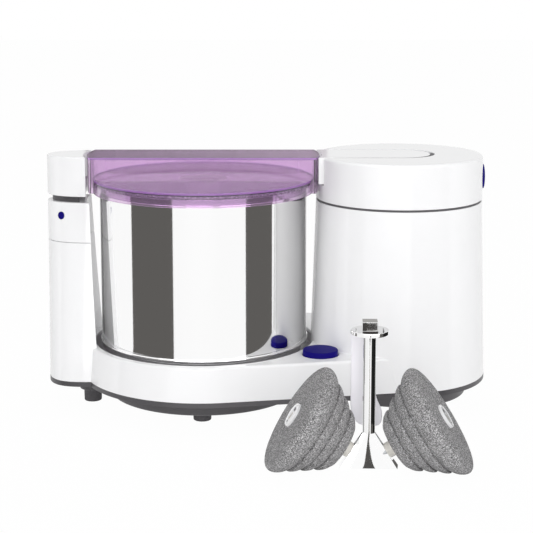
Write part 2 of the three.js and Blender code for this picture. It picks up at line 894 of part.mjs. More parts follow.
// Stainless drum: straight wall, bottom corner, bottom bead and a hole for the hub.
function drumShell() {
  const outline = [[spindleRadius + fitGap, drumBottom]];
  for (let i = 0; i <= roundingSteps; i++) {
    const angle = ((Math.PI / 2) * i) / roundingSteps;
    const reach = drumRadius - drumCorner * (1 - Math.sin(angle));
    outline.push([reach, drumBottom + drumCorner * (1 - Math.cos(angle))]);
  }
  outline.push([drumRadius, drumBeadZ]);
  outline.push([drumRadius + drumBeadProud, drumBeadZ + drumBeadHeight / 3]);
  outline.push([drumRadius + drumBeadProud, drumBeadZ + (2 * drumBeadHeight) / 3]);
  outline.push([drumRadius, drumBeadZ + drumBeadHeight]);
  outline.push([drumRadius, drumTop]);
  outline.push([drumRadius - drumSheet, drumTop]);
  for (let i = roundingSteps; i >= 0; i--) {
    const angle = ((Math.PI / 2) * i) / roundingSteps;
    const reach = drumRadius - drumSheet - (drumCorner - drumSheet) * (1 - Math.sin(angle));
    outline.push([reach, drumBottom + drumSheet + (drumCorner - drumSheet) * (1 - Math.cos(angle))]);
  }
  outline.push([spindleRadius + fitGap, drumBottom + drumSheet]);
  return turned(outline, largeRoundSides);
}

const stoneFloorBottom = drumBottom + drumSheet;
const stoneFloorTop = stoneFloorBottom + stoneFloorThickness;

// Granite floor of the drum, on which the stones roll.
function stoneFloor() {
  const radius = drumRadius - drumSheet - stoneFloorGap;
  const corner = drumCorner;
  return turned(
    [
      [spindleRadius + fitGap, stoneFloorBottom],
      [radius - corner, stoneFloorBottom],
      [radius, stoneFloorBottom + corner],
      [radius, stoneFloorTop],
      [spindleRadius + fitGap, stoneFloorTop],
    ],
    largeRoundSides,
  );
}

// Plastic hub under the drum, which the spindle turns.
function drumHub() {
  const bore = spindleRadius + fitGap;
  return turned(
    [
      [bore, wellFloorTop - wellDeck],
      [hubRadius - slideGap, wellFloorTop - wellDeck],
      [hubRadius - slideGap, drumBottom - hubSkirtHeight],
      [hubSkirtRadius, drumBottom - hubSkirtHeight],
      [hubSkirtRadius, drumBottom],
      [bore, drumBottom],
    ],
    mediumRoundSides,
  );
}

// Domed guide pin on the stone floor, round which the stone assembly turns.
function guidePin() {
  const flangeTop = stoneFloorTop + guidePinFlange;
  return turned(
    [
      [0, stoneFloorTop],
      [guidePinFlangeRadius, stoneFloorTop],
      [guidePinFlangeRadius, flangeTop],
      [guidePinRadius, flangeTop],
      [guidePinRadius, flangeTop + guidePinHeight / 2],
      [0, flangeTop + guidePinHeight],
    ],
    smallRoundSides,
  );
}

// A flat-belt pulley with two flanges.
function pulley(radius, bore, sides) {
  const half = beltWidth / 2 + fitGap;
  const rim = radius + pulleyFlange;
  return turned(
    [
      [bore, beltZ - half - flangeThickness],
      [rim, beltZ - half - flangeThickness],
      [rim, beltZ - half],
      [radius, beltZ - half],
      [radius, beltZ + half],
      [rim, beltZ + half],
      [rim, beltZ + half + flangeThickness],
      [bore, beltZ + half + flangeThickness],
    ],
    sides,
  );
}

// Outline of the belt's inner or outer face round both pulleys.
function beltOutline(grow) {
  const [large, small] = [drivenPulleyRadius + grow, motorPulleyRadius + grow];
  const tangent = Math.acos((large - small) / towerX);
  const shape = new THREE.Shape();
  shape.absarc(0, 0, large, tangent, 2 * Math.PI - tangent, false);
  shape.absarc(towerX, 0, small, -tangent, tangent, false);
  shape.closePath();
  return shape;
}

function driveBelt() {
  const [bottom, top] = [beltZ - beltWidth / 2, beltZ + beltWidth / 2];
  const outer = prism(beltOutline(fitGap + beltThickness), bottom, top);
  return outer.subtract(prism(beltOutline(fitGap), bottom - cutOverrun, top + cutOverrun));
}

const bearingLowZ = trayFloorTop + trayShelf / 3;
const bearingHousingTop = beltZ - beltWidth / 2 - fitGap - flangeThickness - slideGap;

// Cast seat of the spindle's two bearings, bolted to the tray's floor.
function bearingHousing() {
  const bore = bearingOuterRadius + fitGap;
  return turned(
    [
      [bore, trayFloorTop],
      [bearingFlangeRadius, trayFloorTop],
      [bearingFlangeRadius, trayFloorTop + wall],
      [bearingHousingRadius, trayFloorTop + wall],
      [bearingHousingRadius, bearingHousingTop],
      [bore, bearingHousingTop],
    ],
    mediumRoundSides,
  );
}

function bearing(bottom) {
  const top = bottom + bearingHeight;
  return disc(bearingOuterRadius, bottom, top, smallRoundSides, spindleRadius + slideGap);
}

addPart("bearing_housing", bearingHousing(), plainSteel);
addPart("lower_bearing", bearing(trayFloorTop), plainSteel);
addPart("upper_bearing", bearing(bearingHousingTop - bearingHeight), plainSteel);
addPart("drive_belt", driveBelt(), rubber);
addPart("drum_shell", drumShell(), mirrorSteel);
addPart("stone_floor", stoneFloor(), granite);
addPart("drum_hub", drumHub(), darkPlastic);
addPart("guide_pin", guidePin(), plainSteel);
addPart("driven_pulley", pulley(drivenPulleyRadius, spindleRadius + fitGap, mediumRoundSides), darkPlastic);
addPart("drum_spindle", disc(spindleRadius, bearingLowZ, stoneFloorTop, smallRoundSides), plainSteel);

// Motor, built round the tower's axis.
const motor = new THREE.Group();
motor.position.x = towerX;
machine.add(motor);

const plateTop = motorPlateZ + motorPlateThickness;
const statorBottom = plateTop + bracketHeight;
const statorTop = statorBottom + statorHeight;
const motorTop = statorTop + bracketHeight;

// End bracket of the motor: a spider of four arms between a hub and a ring.
function motorBracket(bottom) {
  const top = bottom + bracketHeight;
  const ring = disc(statorRadius, bottom, top, mediumRoundSides, statorRadius - wall);
  const hub = disc(bearingOuterRadius, bottom, top, smallRoundSides);
  const reach = statorRadius - wall / 2;
  const arms = [
    block([-reach, -bracketArm / 2, bottom], [reach, bracketArm / 2, top]),
    block([-bracketArm / 2, -reach, bottom], [bracketArm / 2, reach, top]),
  ];
  const bore = disc(shaftRadius + fitGap, bottom - cutOverrun, top + cutOverrun, smallRoundSides);
  return union([ring, hub, ...arms]).subtract(bore);
}

// Rotor with its shaft.
function motorRotor() {
  const core = statorBore - slideGap;
  const shaftBottom = beltZ - beltWidth / 2 - flangeThickness;
  return turned(
    [
      [0, shaftBottom],
      [shaftRadius, shaftBottom],
      [shaftRadius, statorBottom + fitGap],
      [core, statorBottom + fitGap],
      [core, statorTop - fitGap],
      [shaftRadius, statorTop - fitGap],
      [shaftRadius, motorTop + fanHeight],
      [0, motorTop + fanHeight],
    ],
    mediumRoundSides,
  );
}

// Fan on the motor's upper shaft end: a hub plate and upright blades.
function coolingFan() {
  const bottom = motorTop + slideGap;
  const plate = disc(fanRadius, bottom, bottom + fanBlade, mediumRoundSides);
  const hub = disc(bearingOuterRadius / 2, bottom, motorTop + fanHeight, smallRoundSides);
  const blades = [];
  for (let i = 0; i < fanBlades; i++) {
    const blade = block(
      [bearingOuterRadius / 2 - fanBlade, -fanBlade / 2, bottom + fanBlade / 2],
      [fanRadius - fanBlade, fanBlade / 2, motorTop + fanHeight],
    );
    blades.push(blade.rotate([0, 0, (360 * i) / fanBlades]));
  }
  const boreTop = motorTop + fanHeight + cutOverrun;
  const bore = disc(shaftRadius + fitGap, bottom - cutOverrun, boreTop, smallRoundSides);
  return union([plate, hub, ...blades]).subtract(bore);
}

const motorPlate = cut(disc(motorPlateRadius, motorPlateZ, plateTop, mediumRoundSides), [
  disc(bearingOuterRadius, motorPlateZ - cutOverrun, plateTop + cutOverrun, smallRoundSides),
]);
addPart("motor_plate", motorPlate, plainSteel, motor);
addPart("lower_motor_bracket", motorBracket(plateTop), plainSteel, motor);
const statorRing = disc(statorRadius, statorBottom, statorTop, mediumRoundSides, statorBore);
addPart("motor_stator", statorRing, copper, motor);
addPart("upper_motor_bracket", motorBracket(statorTop), plainSteel, motor);
addPart("motor_rotor", motorRotor(), plainSteel, motor);
addPart("cooling_fan", coolingFan(), darkPlastic, motor);
const motorPulley = pulley(motorPulleyRadius, shaftRadius + fitGap, smallRoundSides);
addPart("motor_pulley", motorPulley, plainSteel, motor);
const capacitorTop = plateTop + capacitorHeight;
const capacitor = discAt(capacitorX, 0, capacitorRadius, plateTop, capacitorTop, smallRoundSides);
addPart("run_capacitor", capacitor, whitePlastic, motor);

// White block at the right of the arm, with the round tail that turns on the hinge pin.
function armTail() {
  const body = prism(tailShape(armHalfWidth, 0), armUnderside, machineTop);
  const holeEnd = armHalfWidth + cutOverrun;
  const pinHole = barY(hingePinRadius + fitGap, -holeEnd, holeEnd, hingeX, hingeZ, smallRoundSides);
  const space = drumSpace(armRadius, armUnderside - cutOverrun, machineTop + cutOverrun);
  return cut(body, [space, pinHole]).add(armTab(1, armUnderside, armUnderside + armTabHeight));
}

// Short tab with which a white end meets the end wall of the bridge.
function armTab(side, bottom, top) {
  const [near, far] = [bridgeRadius - armTabReach, armRadius + armTabReach];
  const half = armTabHalfWidth;
  const bar = block([side > 0 ? near : -far, -half, bottom], [side > 0 ? far : -near, half, top]);
  return bar.subtract(drumSpace(bridgeRadius + fitGap, bottom - cutOverrun, top + cutOverrun));
}

// White left end of the arm, above the neck.
function armLeftEnd() {
  const outer = columnBody(armEndBottom, machineTop).subtract(
    drumSpace(armRadius, armEndBottom - cutOverrun, machineTop + cutOverrun),
  );
  return outer.add(armTab(-1, armTabZ, armTabZ + armTabHeight));
}

// Hook under the arm's left end that catches in the column.
function latchHook() {
  const half = latchHookWidth / 2;
  const bottom = armEndBottom - latchHookDrop;
  const shape = new THREE.Shape();
  shape.moveTo(latchHookX, armEndBottom);
  shape.lineTo(latchHookX, bottom);
  shape.lineTo(latchHookX - latchHookThickness, bottom);
  shape.lineTo(latchHookX - latchHookThickness - latchHookBarb, bottom + latchHookBarb);
  shape.lineTo(latchHookX - latchHookThickness, bottom + latchHookBarb);
  shape.lineTo(latchHookX - latchHookThickness, armEndBottom);
  shape.closePath();
  return prism(shape, -half, half).rotate([90, 0, 0]);
}

// Plan of the bridge: parallel sides between round ends.
function bridgePlan(halfWidth, radius, bottom, top) {
  const strip = block([-radius, -halfWidth, bottom], [radius, halfWidth, top]);
  return strip.intersect(disc(radius, bottom - cutOverrun, top + cutOverrun, largeRoundSides));
}

// Lilac see-through bridge over the lid: top plate, side walls, end skirts and two ribs.
function bridgeCover() {
  const plate = bridgePlan(bridgeHalfWidth, bridgeRadius, machineTop - bridgeWall, machineTop);
  const wallHalf = bridgeHalfWidth - bridgeOverhang;
  const wallTop = machineTop - bridgeWall / 2;
  const walls = bridgePlan(wallHalf, bridgeRadius - bridgeOverhang, bridgeBottom, wallTop);
  const hollow = bridgePlan(
    wallHalf - bridgeWall,
    bridgeRadius - bridgeOverhang - bridgeWall,
    bridgeBottom - cutOverrun,
    machineTop - bridgeWall,
  );
  const ribs = [-1, 1].map((side) =>
    block(
      [side * bridgeRibX - bridgeRib / 2, -wallHalf + bridgeWall / 2, lidTop],
      [side * bridgeRibX + bridgeRib / 2, wallHalf - bridgeWall / 2, wallTop],
    ),
  );
  const lidSpace = disc(lidRadius + fitGap, bridgeBottom - cutOverrun, lidTop, largeRoundSides);
  const rimSpace = disc(
    lidRadius + fitGap,
    bridgeBottom - cutOverrun,
    lidTop + lidRimHeight + fitGap,
    largeRoundSides,
    lidRadius - lidRimWidth - fitGap,
  );
  const capSpace = discAt(
    towerX,
    0,
    towerTopRadius + bridgeCapGap,
    bridgeBottom - cutOverrun,
    armUnderside,
    largeRoundSides,
  );
  return cut(union([plate, walls.subtract(hollow), ...ribs]), [lidSpace, rimSpace, capSpace]);
}

// Lilac lid: flat disc, raised rim and skirt over the drum's edge.
function lidDisc() {
  return turned(
    [
      [0, lidTop - lidThickness],
      [lidRadius - lidSkirt, lidTop - lidThickness],
      [lidRadius - lidSkirt, lidBottom],
      [lidRadius, lidBottom],
      [lidRadius, lidTop + lidRimHeight],
      [lidRadius - lidRimWidth, lidTop + lidRimHeight],
      [lidRadius - lidRimWidth, lidTop],
      [0, lidTop],
    ],
    largeRoundSides,
  );
}

// Boss under the lid with the square socket for the head of the stone assembly.
function shaftSocket() {
  const bottom = lidUnderside - socketDepth;
  const body = turned(
    [
      [0, bottom],
      [socketRadius, bottom],
      [socketRadius, lidUnderside - socketFlange],
      [socketFlangeRadius, lidUnderside - socketFlange],
      [socketFlangeRadius, lidUnderside],
      [0, lidUnderside],
    ],
    mediumRoundSides,
  );
  const half = headHalf + slideGap;
  return body.subtract(
    block([-half, -half, bottom - cutOverrun], [half, half, lidUnderside - 2 * socketFlange]),
  );
}

addPart("arm_tail", armTail(), whitePlastic);
addPart("arm_left_end", armLeftEnd(), whitePlastic);
addPart("bridge_cover", bridgeCover(), lilacPlastic);
addPart("lid_disc", lidDisc(), lilacPlastic);
const sealOuter = lidRadius - lidSkirt - fitGap;
const sealBottom = lidUnderside - sealHeight;
const lidSeal = disc(sealOuter, sealBottom, lidUnderside, largeRoundSides, sealOuter - sealWidth);
addPart("lid_seal", lidSeal, rubber);
addPart("shaft_socket", shaftSocket(), whitePlastic);
addPart("latch_hook", latchHook(), darkPlastic);

// Stone assembly, turned a little so that it faces the viewer.
const assembly = new THREE.Group();
assembly.position.set(assemblyX, assemblyY, 0);
assembly.rotation.z = THREE.MathUtils.degToRad(assemblyTurn);
machine.add(assembly);

// Distances along an axle, from the foot's face outwards.
const bushStart = fitGap;
const hubStart = bushStart + bushLength + fitGap;
const stoneStart = hubStart + hubInsertProud;
const stoneEnd = stoneStart + stoneLength;
const domeTop = stoneEnd + stoneDome;
const pocketFloor = domeTop - hubPocketDepth;

// Where the axles leave the side faces of the foot, so that the stones touch the ground.
const tilt = THREE.MathUtils.degToRad(axleTilt);
const axleHeight = stoneSmallRadius * Math.cos(tilt) - stoneStart * Math.sin(tilt);
const sideSlope = Math.tan(tilt);
const sideReachAt = (z) => stemHalfWidth + (footTopZ - z) * sideSlope;
const axleReach = sideReachAt(axleHeight);

// One ring of the stem or foot: a narrow flat on each of four sides, with slanting faces between.
function stemRing(z, sideReach, sideHalf, frontReach, frontHalf) {
  const flats = [
    [-axleSweep, sideReach, sideHalf],
    [90, frontReach, frontHalf],
    [180 + axleSweep, sideReach, sideHalf],
    [270, frontReach, frontHalf],
  ];
  return flats.flatMap(([degrees, reach, half]) => {
    const angle = THREE.MathUtils.degToRad(degrees);
    const [c, s] = [Math.cos(angle), Math.sin(angle)];
    const corner = (offset) => new THREE.Vector3(reach * c - offset * s, reach * s + offset * c, z);
    return [corner(-half), corner(half)];
  });
}

// A solid moved from the line of an axle, drawn along +Z, to its place on the foot.
function alongAxle(body, side) {
  const azimuth = side > 0 ? -axleSweep : 180 + axleSweep;
  const angle = THREE.MathUtils.degToRad(azimuth);
  return body
    .rotate([0, 90 - axleTilt, 0])
    .rotate([0, 0, azimuth])
    .translate([axleReach * Math.cos(angle), axleReach * Math.sin(angle), axleHeight]);
}

// Stem with its spreading foot, in one piece of steel.
function carrierStem() {
  const upright = (z) => stemRing(z, stemHalfWidth, stemFacet, stemHalfWidth, stemFacet);
  const sideReach = sideReachAt(footBottomZ);
  const foot = stemRing(footBottomZ, sideReach, footSideHalf, footFrontReach, footFrontHalf);
  const body = loft([foot, upright(footTopZ), upright(discBottom)]);
  const seats = [-1, 1].map((side) =>
    alongAxle(disc(axleRadius + fitGap, -axleSeat - fitGap, cutOverrun, smallRoundSides), side),
  );
  return cut(body, seats);
}

// Square head with chamfered top, which the lid's socket holds.
function driveHead() {
  const ring = (half, z) => [
    new THREE.Vector3(half, -half, z),
    new THREE.Vector3(half, half, z),
    new THREE.Vector3(-half, half, z),
    new THREE.Vector3(-half, -half, z),
  ];
  return loft([
    ring(headHalf, discTop),
    ring(headHalf, headTop - headChamfer),
    ring(headHalf - headChamfer, headTop),
  ]);
}

// White blade behind the stem that turns the batter back under the stones.
function wiperBlade() {
  const shape = new THREE.Shape();
  const top = discBottom - bladeTopGap;
  shape.moveTo(-bladeLeft, top);
  shape.lineTo(-bladeLeft, bladeShoulderZ);
  shape.lineTo(-bladeLeft / 2, bladeBottomZ);
  shape.lineTo(bladeRight, bladeBottomZ);
  shape.quadraticCurveTo(bladeFin, bladeBottomZ, bladeFin, bladeFinZ);
  shape.quadraticCurveTo(bladeFin, bladeShoulderZ, bladeRight, bladeFinTopZ);
  shape.lineTo(bladeRight, top);
  shape.closePath();
  const back = stemHalfWidth + fitGap + bladeThickness;
  return prism(shape, -back, -back + bladeThickness, roundingSteps).rotate([90, 0, 0]);
}

addPart("carrier_stem", carrierStem(), mirrorSteel, assembly);
addPart("carrier_disc", disc(discRadius, discBottom, discTop, mediumRoundSides), mirrorSteel, assembly);
addPart("drive_head", driveHead(), mirrorSteel, assembly);
addPart("wiper_blade", wiperBlade(), whitePlastic, assembly);

// Grinding stone: stepped cone with a rounded edge and a slightly domed outer face.
function grindingStone() {
  const bore = hubInsertRadius + fitGap;
  const slope = (stoneRadius - stoneSmallRadius) / stoneLength;
  const flank = (z) => stoneSmallRadius + (z - stoneStart) * slope;
  const edgeStart = stoneEnd - stoneRounding * Math.cos(tilt);
  const outline = [[bore, stoneStart]];
  for (let i = 0; i < stoneLayers; i++) {
    const from = stoneStart + i * stoneLayerHeight;
    outline.push([flank(from) - stoneLedgeRise, from]);
    outline.push([flank(from + stoneLedge), from + stoneLedge]);
    const to = from + stoneLayerHeight;
    if (i < stoneLayers - 1) outline.push([flank(to) - stoneLedgeRise / 2, to]);
  }
  const faceRadius = stoneRadius - stoneRounding;
  const edge = new THREE.QuadraticBezierCurve(
    new THREE.Vector2(flank(edgeStart), edgeStart),
    new THREE.Vector2(stoneRadius, stoneEnd),
    new THREE.Vector2(faceRadius, stoneEnd + stoneDome / 2),
  );
  for (const point of edge.getPoints(roundingSteps + 1)) outline.push([point.x, point.y]);
  const [seat, seatDepth] = [hubInsertRim + fitGap, domeTop - hubInsertRimDepth - fitGap];
  outline.push([(faceRadius + seat) / 2, domeTop - stoneDome / 5]);
  outline.push([seat, domeTop]);
  outline.push([seat, seatDepth]);
  outline.push([bore, seatDepth]);
  return turned(outline, mediumRoundSides);
}

// White plastic hub through a stone, with a rim and a pocket at the outer face.
function stoneHub() {
  const bore = axleRadius + fitGap;
  const rimBottom = domeTop - hubInsertRimDepth;
  return turned(
    [
      [bore, hubStart],
      [hubInsertRadius, hubStart],
      [hubInsertRadius, rimBottom],
      [hubInsertRim, rimBottom],
      [hubInsertRim, domeTop],
      [hubPocketRadius, domeTop],
      [hubPocketRadius, pocketFloor],
      [bore, pocketFloor],
    ],
    smallRoundSides,
  );
}

// Retainer on the end of an axle, with a driver slot.
function axleRetainer() {
  const bottom = pocketFloor + fitGap;
  const top = bottom + retainerThickness;
  const half = retainerSlotWidth / 2;
  const slot = block(
    [-retainerRadius - cutOverrun, -half, top - retainerSlotDepth],
    [retainerRadius + cutOverrun, half, top + cutOverrun],
  );
  return disc(retainerRadius, bottom, top, smallRoundSides).subtract(slot);
}

const sides = [
  ["left", -1],
  ["right", 1],
];
for (const [word, side] of sides) {
  const place = (body) => alongAxle(body, side);
  const axle = disc(axleRadius, -axleSeat, pocketFloor, smallRoundSides);
  const bush = disc(bushRadius, bushStart, bushStart + bushLength, smallRoundSides, axleRadius + fitGap);
  addPart("axle_" + word, place(axle), plainSteel, assembly);
  addPart("inner_bush_" + word, place(bush), whitePlastic, assembly);
  addPart("axle_retainer_" + word, place(axleRetainer()), whitePlastic, assembly);
  addPart("grinding_stone_" + word, place(grindingStone()), granite, assembly);
  addPart("stone_hub_" + word, place(stoneHub()), whitePlastic, assembly);
}

// The part's origin is the middle of its footprint, on the surface that it stands on.
const group = new THREE.Group();
group.add(machine);
const middle = new THREE.Box3().setFromObject(group, true).getCenter(new THREE.Vector3());
machine.position.set(-middle.x, -middle.y, 0);

export default group;
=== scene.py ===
"""Looks of a table-top wet grinder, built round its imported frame.

Sizes are millimetres. The machine is drawn round the drum's axis, with the tower at +X and the left
column at -X, and the stone assembly round its own upright axis. Each piece is moved to the frame's
place when it is published.
"""

from __future__ import annotations

import json
import logging
import math
from dataclasses import dataclass, field
from enum import Enum
from typing import Callable, Iterable, Sequence

import bmesh
import bpy
from bmesh.types import BMesh, BMFace, BMVert
from bpy.types import ID, Material, Mesh, Node, NodeSocket, NodeTree, Object, World
from mathutils import Matrix, Vector, noise

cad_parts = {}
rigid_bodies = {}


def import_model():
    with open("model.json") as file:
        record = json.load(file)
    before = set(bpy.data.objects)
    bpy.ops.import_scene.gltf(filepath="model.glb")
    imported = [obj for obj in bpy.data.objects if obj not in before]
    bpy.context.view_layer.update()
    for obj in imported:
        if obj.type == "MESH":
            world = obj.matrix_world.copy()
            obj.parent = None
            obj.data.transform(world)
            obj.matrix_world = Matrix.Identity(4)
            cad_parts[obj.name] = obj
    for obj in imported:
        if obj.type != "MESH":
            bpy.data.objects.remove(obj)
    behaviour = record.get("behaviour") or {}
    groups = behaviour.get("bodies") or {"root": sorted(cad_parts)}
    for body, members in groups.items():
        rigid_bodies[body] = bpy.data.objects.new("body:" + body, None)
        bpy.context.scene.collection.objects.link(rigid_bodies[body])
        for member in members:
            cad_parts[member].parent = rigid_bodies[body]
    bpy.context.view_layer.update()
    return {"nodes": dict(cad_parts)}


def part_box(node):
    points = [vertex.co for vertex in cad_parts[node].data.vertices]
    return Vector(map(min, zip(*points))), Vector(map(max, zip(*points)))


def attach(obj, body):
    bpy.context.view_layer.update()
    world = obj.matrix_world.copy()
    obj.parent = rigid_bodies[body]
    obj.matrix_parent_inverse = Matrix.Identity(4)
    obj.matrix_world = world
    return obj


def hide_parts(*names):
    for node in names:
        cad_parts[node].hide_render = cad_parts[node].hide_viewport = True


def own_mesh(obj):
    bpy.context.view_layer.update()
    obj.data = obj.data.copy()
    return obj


LOG = logging.getLogger("wet_grinder")

MM = 0.001
FULL_TURN = 2 * math.pi
MERGE = 1e-3
OVERRUN = 2.0
LARGE_ROUND = 160

Point = tuple[float, float]
Corner = tuple[float, float, float]
Place = tuple[float, float, float]
Colour = tuple[float, float, float, float]


class Body(Enum):
    """The parts that move as one."""

    HOUSING = "housing"
    DRUM = "drum"
    ARM = "arm"
    RELEASE = "release_button"
    POWER = "power_button"
    CARRIER = "stone_carrier"
    STONE_LEFT = "stone_left"
    STONE_RIGHT = "stone_right"


LOOSE = (Body.CARRIER, Body.STONE_LEFT, Body.STONE_RIGHT)


class Slot(Enum):
    """The record's material slots."""

    WHITE = "white_plastic"
    DARK = "dark_plastic"
    BLUE = "blue_plastic"
    LILAC = "lilac_plastic"
    RUBBER = "rubber"
    MIRROR = "mirror_steel"
    STEEL = "plain_steel"
    WINDINGS = "windings"
    GRANITE = "granite"


class Operation(Enum):
    """How one solid changes another."""

    JOIN = "UNION"
    CUT = "DIFFERENCE"


# Colour and nodes


def linear(hex_colour: str) -> Colour:
    """Turns an sRGB hex colour to the linear values that shaders take.

    Args:
        hex_colour: Six hex digits, with or without a leading mark.

    Returns:
        Linear red, green and blue, and an alpha of 1.
    """
    digits = hex_colour.lstrip("#")
    shares = [int(digits[i : i + 2], 16) / 255 for i in (0, 2, 4)]
    values = [c / 12.92 if c <= 0.04045 else ((c + 0.055) / 1.055) ** 2.4 for c in shares]
    return (values[0], values[1], values[2], 1.0)


def add_node(
    tree: NodeTree,
    kind: str,
    values: dict[str, object] | None = None,
    links: dict[str, NodeSocket] | None = None,
    **settings: object,
) -> Node:
    """Adds a node with its settings, socket values and incoming links.

    Args:
        tree: The node tree that gets the node.
        kind: The node's type.
        values: Input values by socket name or index.
        links: Sockets of other nodes that feed this node's inputs.
        settings: Properties of the node itself.

    Returns:
        The new node.
    """
    made = tree.nodes.new(kind)
    for key, value in settings.items():
        setattr(made, key, value)
    for key, value in (values or {}).items():
        made.inputs[key].default_value = value
    for key, source in (links or {}).items():
        tree.links.new(source, made.inputs[key])
    return made


def ramp(tree: NodeTree, source: NodeSocket, stops: Sequence[tuple[float, Colour]]) -> NodeSocket:
    """Maps a value to colours.

    Args:
        tree: The node tree.
        source: The value from 0 to 1.
        stops: Places and their colours.

    Returns:
        The colour socket.
    """
    made = add_node(tree, "ShaderNodeValToRGB", links={"Fac": source})
    elements = made.color_ramp.elements
    while len(elements) < len(stops):
        elements.new(0.5)
    for element, (place, colour) in zip(elements, stops):
        element.position = place
        element.color = colour
    return made.outputs["Color"]


def spread(tree: NodeTree, source: NodeSocket, low: float, high: float) -> NodeSocket:
    """Maps a pattern's value from 0 to 1 to a range.

    Args:
        tree: The node tree.
        source: The pattern's value.
        low: The result at 0.
        high: The result at 1.

    Returns:
        The mapped value's socket.
    """
    made = add_node(tree, "ShaderNodeMapRange", {"To Min": low, "To Max": high}, {"Value": source})
    return made.outputs["Result"]


def either(tree: NodeTree, first: NodeSocket, second: NodeSocket) -> NodeSocket:
    """The larger of two values, such as those of two kinds of ray."""
    return add_node(tree, "ShaderNodeMath", links={0: first, 1: second}, operation="MAXIMUM").outputs[0]


def patterned(tree: NodeTree, place: NodeSocket, scale: float, detail: float) -> NodeSocket:
    """A soft noise over the object's own coordinates."""
    values = {"Scale": scale, "Detail": detail}
    return add_node(tree, "ShaderNodeTexNoise", values, {"Vector": place}).outputs["Fac"]


def banded(tree: NodeTree, place: NodeSocket, values: dict[str, object]) -> NodeSocket:
    """Bands one above the other."""
    kind = {"wave_type": "BANDS", "bands_direction": "Z"}
    return add_node(tree, "ShaderNodeTexWave", values, {"Vector": place}, **kind).outputs["Fac"]


def bumped(
    tree: NodeTree,
    shader: Node,
    height: NodeSocket,
    strength: float,
    depth_mm: float,
) -> None:
    """Makes a surface uneven.

    Args:
        tree: The node tree.
        shader: Its Principled shader.
        height: The pattern of the unevenness.
        strength: How strong it is, at most 1.
        depth_mm: Its depth in millimetres.
    """
    values = {"Strength": strength, "Distance": depth_mm * MM}
    made = add_node(tree, "ShaderNodeBump", values, {"Height": height})
    tree.links.new(made.outputs["Normal"], shader.inputs["Normal"])


def toned(colour: Colour, share: float) -> Colour:
    """A linear colour made darker or lighter by a share."""
    return (colour[0] * share, colour[1] * share, colour[2] * share, 1.0)


def emptied(owner: Material | World) -> NodeTree:
    """Gives a material or a world an empty node tree."""
    owner.use_nodes = True
    owner.node_tree.nodes.clear()
    return owner.node_tree


def mesh_of(name: str, shape: BMesh) -> Mesh:
    """Turns a solid to a mesh and uses the solid up."""
    mesh = bpy.data.meshes.new(name)
    shape.to_mesh(mesh)
    shape.free()
    return mesh


def placed(name: str, data: ID) -> Object:
    """Puts a mesh, a lamp or a camera into the scene."""
    made = bpy.data.objects.new(name, data)
    bpy.context.scene.collection.objects.link(made)
    return made


@dataclass(frozen=True)
class Finish:
    """What every finish shares: a name, a colour and the record's slot."""

    name: str
    colour: str
    slot: Slot

    def dress(self, tree: NodeTree, shader: Node, place: NodeSocket) -> None:
        """Sets the shader for this finish.

        Args:
            tree: The material's node tree.
            shader: Its Principled shader.
            place: Object coordinates in metres.
        """
        shader.inputs["Base Color"].default_value = linear(self.colour)

    def material(self) -> Material:
        """Returns the finish's material, made once."""
        known = bpy.data.materials.get(self.name)
        if known is not None and known.get("grinder_finish"):
            return known
        made = bpy.data.materials.new(self.name)
        made["grinder_finish"] = True
        tree = emptied(made)
        place = add_node(tree, "ShaderNodeTexCoord").outputs["Object"]
        shader = add_node(tree, "ShaderNodeBsdfPrincipled")
        self.dress(tree, shader, place)
        add_node(tree, "ShaderNodeOutputMaterial", links={"Surface": shader.outputs["BSDF"]})
        return made


@dataclass(frozen=True)
class MouldedAbs(Finish):
    """Injection-moulded ABS: even colour, a clear gloss and a very faint unevenness from the mould."""

    roughness: float = 0.24
    flow_mm: float = 34.0
    grain_mm: float = 0.9
    grain_depth_mm: float = 0.004
    shade: float = 0.97
    sheen_level: float = 0.5

    def dress(self, tree: NodeTree, shader: Node, place: NodeSocket) -> None:
        """Sets a glossy plastic with slow changes of tone and a fine mould grain."""
        base = linear(self.colour)
        flow = patterned(tree, place, 1 / (self.flow_mm * MM), 2.0)
        grain = patterned(tree, place, 1 / (self.grain_mm * MM), 3.0)
        colour = ramp(tree, flow, [(0.3, toned(base, self.shade)), (0.7, base)])
        tree.links.new(colour, shader.inputs["Base Color"])
        gloss = spread(tree, flow, self.roughness * 0.8, self.roughness * 1.2)
        tree.links.new(gloss, shader.inputs["Roughness"])
        bumped(tree, shader, grain, 0.35, self.grain_depth_mm)
        shader.inputs["IOR"].default_value = 1.54
        shader.inputs["Specular IOR Level"].default_value = self.sheen_level


@dataclass(frozen=True)
class TintedStyrene(Finish):
    """See-through tinted styrene: clear, glossy, a little cloudy with fine wear."""

    roughness: float = 0.06
    clear: float = 0.92
    wear_mm: float = 3.0
    shade: float = 0.985

    def dress(self, tree: NodeTree, shader: Node, place: NodeSocket) -> None:
        """Sets a transmitting plastic whose gloss varies with wear."""
        haze = patterned(tree, place, 0.25 / (self.wear_mm * MM), 2.0)
        base = linear(self.colour)
        colour = ramp(tree, haze, [(0.3, toned(base, self.shade)), (0.7, base)])
        tree.links.new(colour, shader.inputs["Base Color"])
        shader.inputs["Transmission Weight"].default_value = self.clear
        shader.inputs["IOR"].default_value = 1.49
        wear = patterned(tree, place, 1 / (self.wear_mm * MM), 4.0)
        gloss = spread(tree, wear, self.roughness * 0.5, self.roughness * 1.6)
        tree.links.new(gloss, shader.inputs["Roughness"])


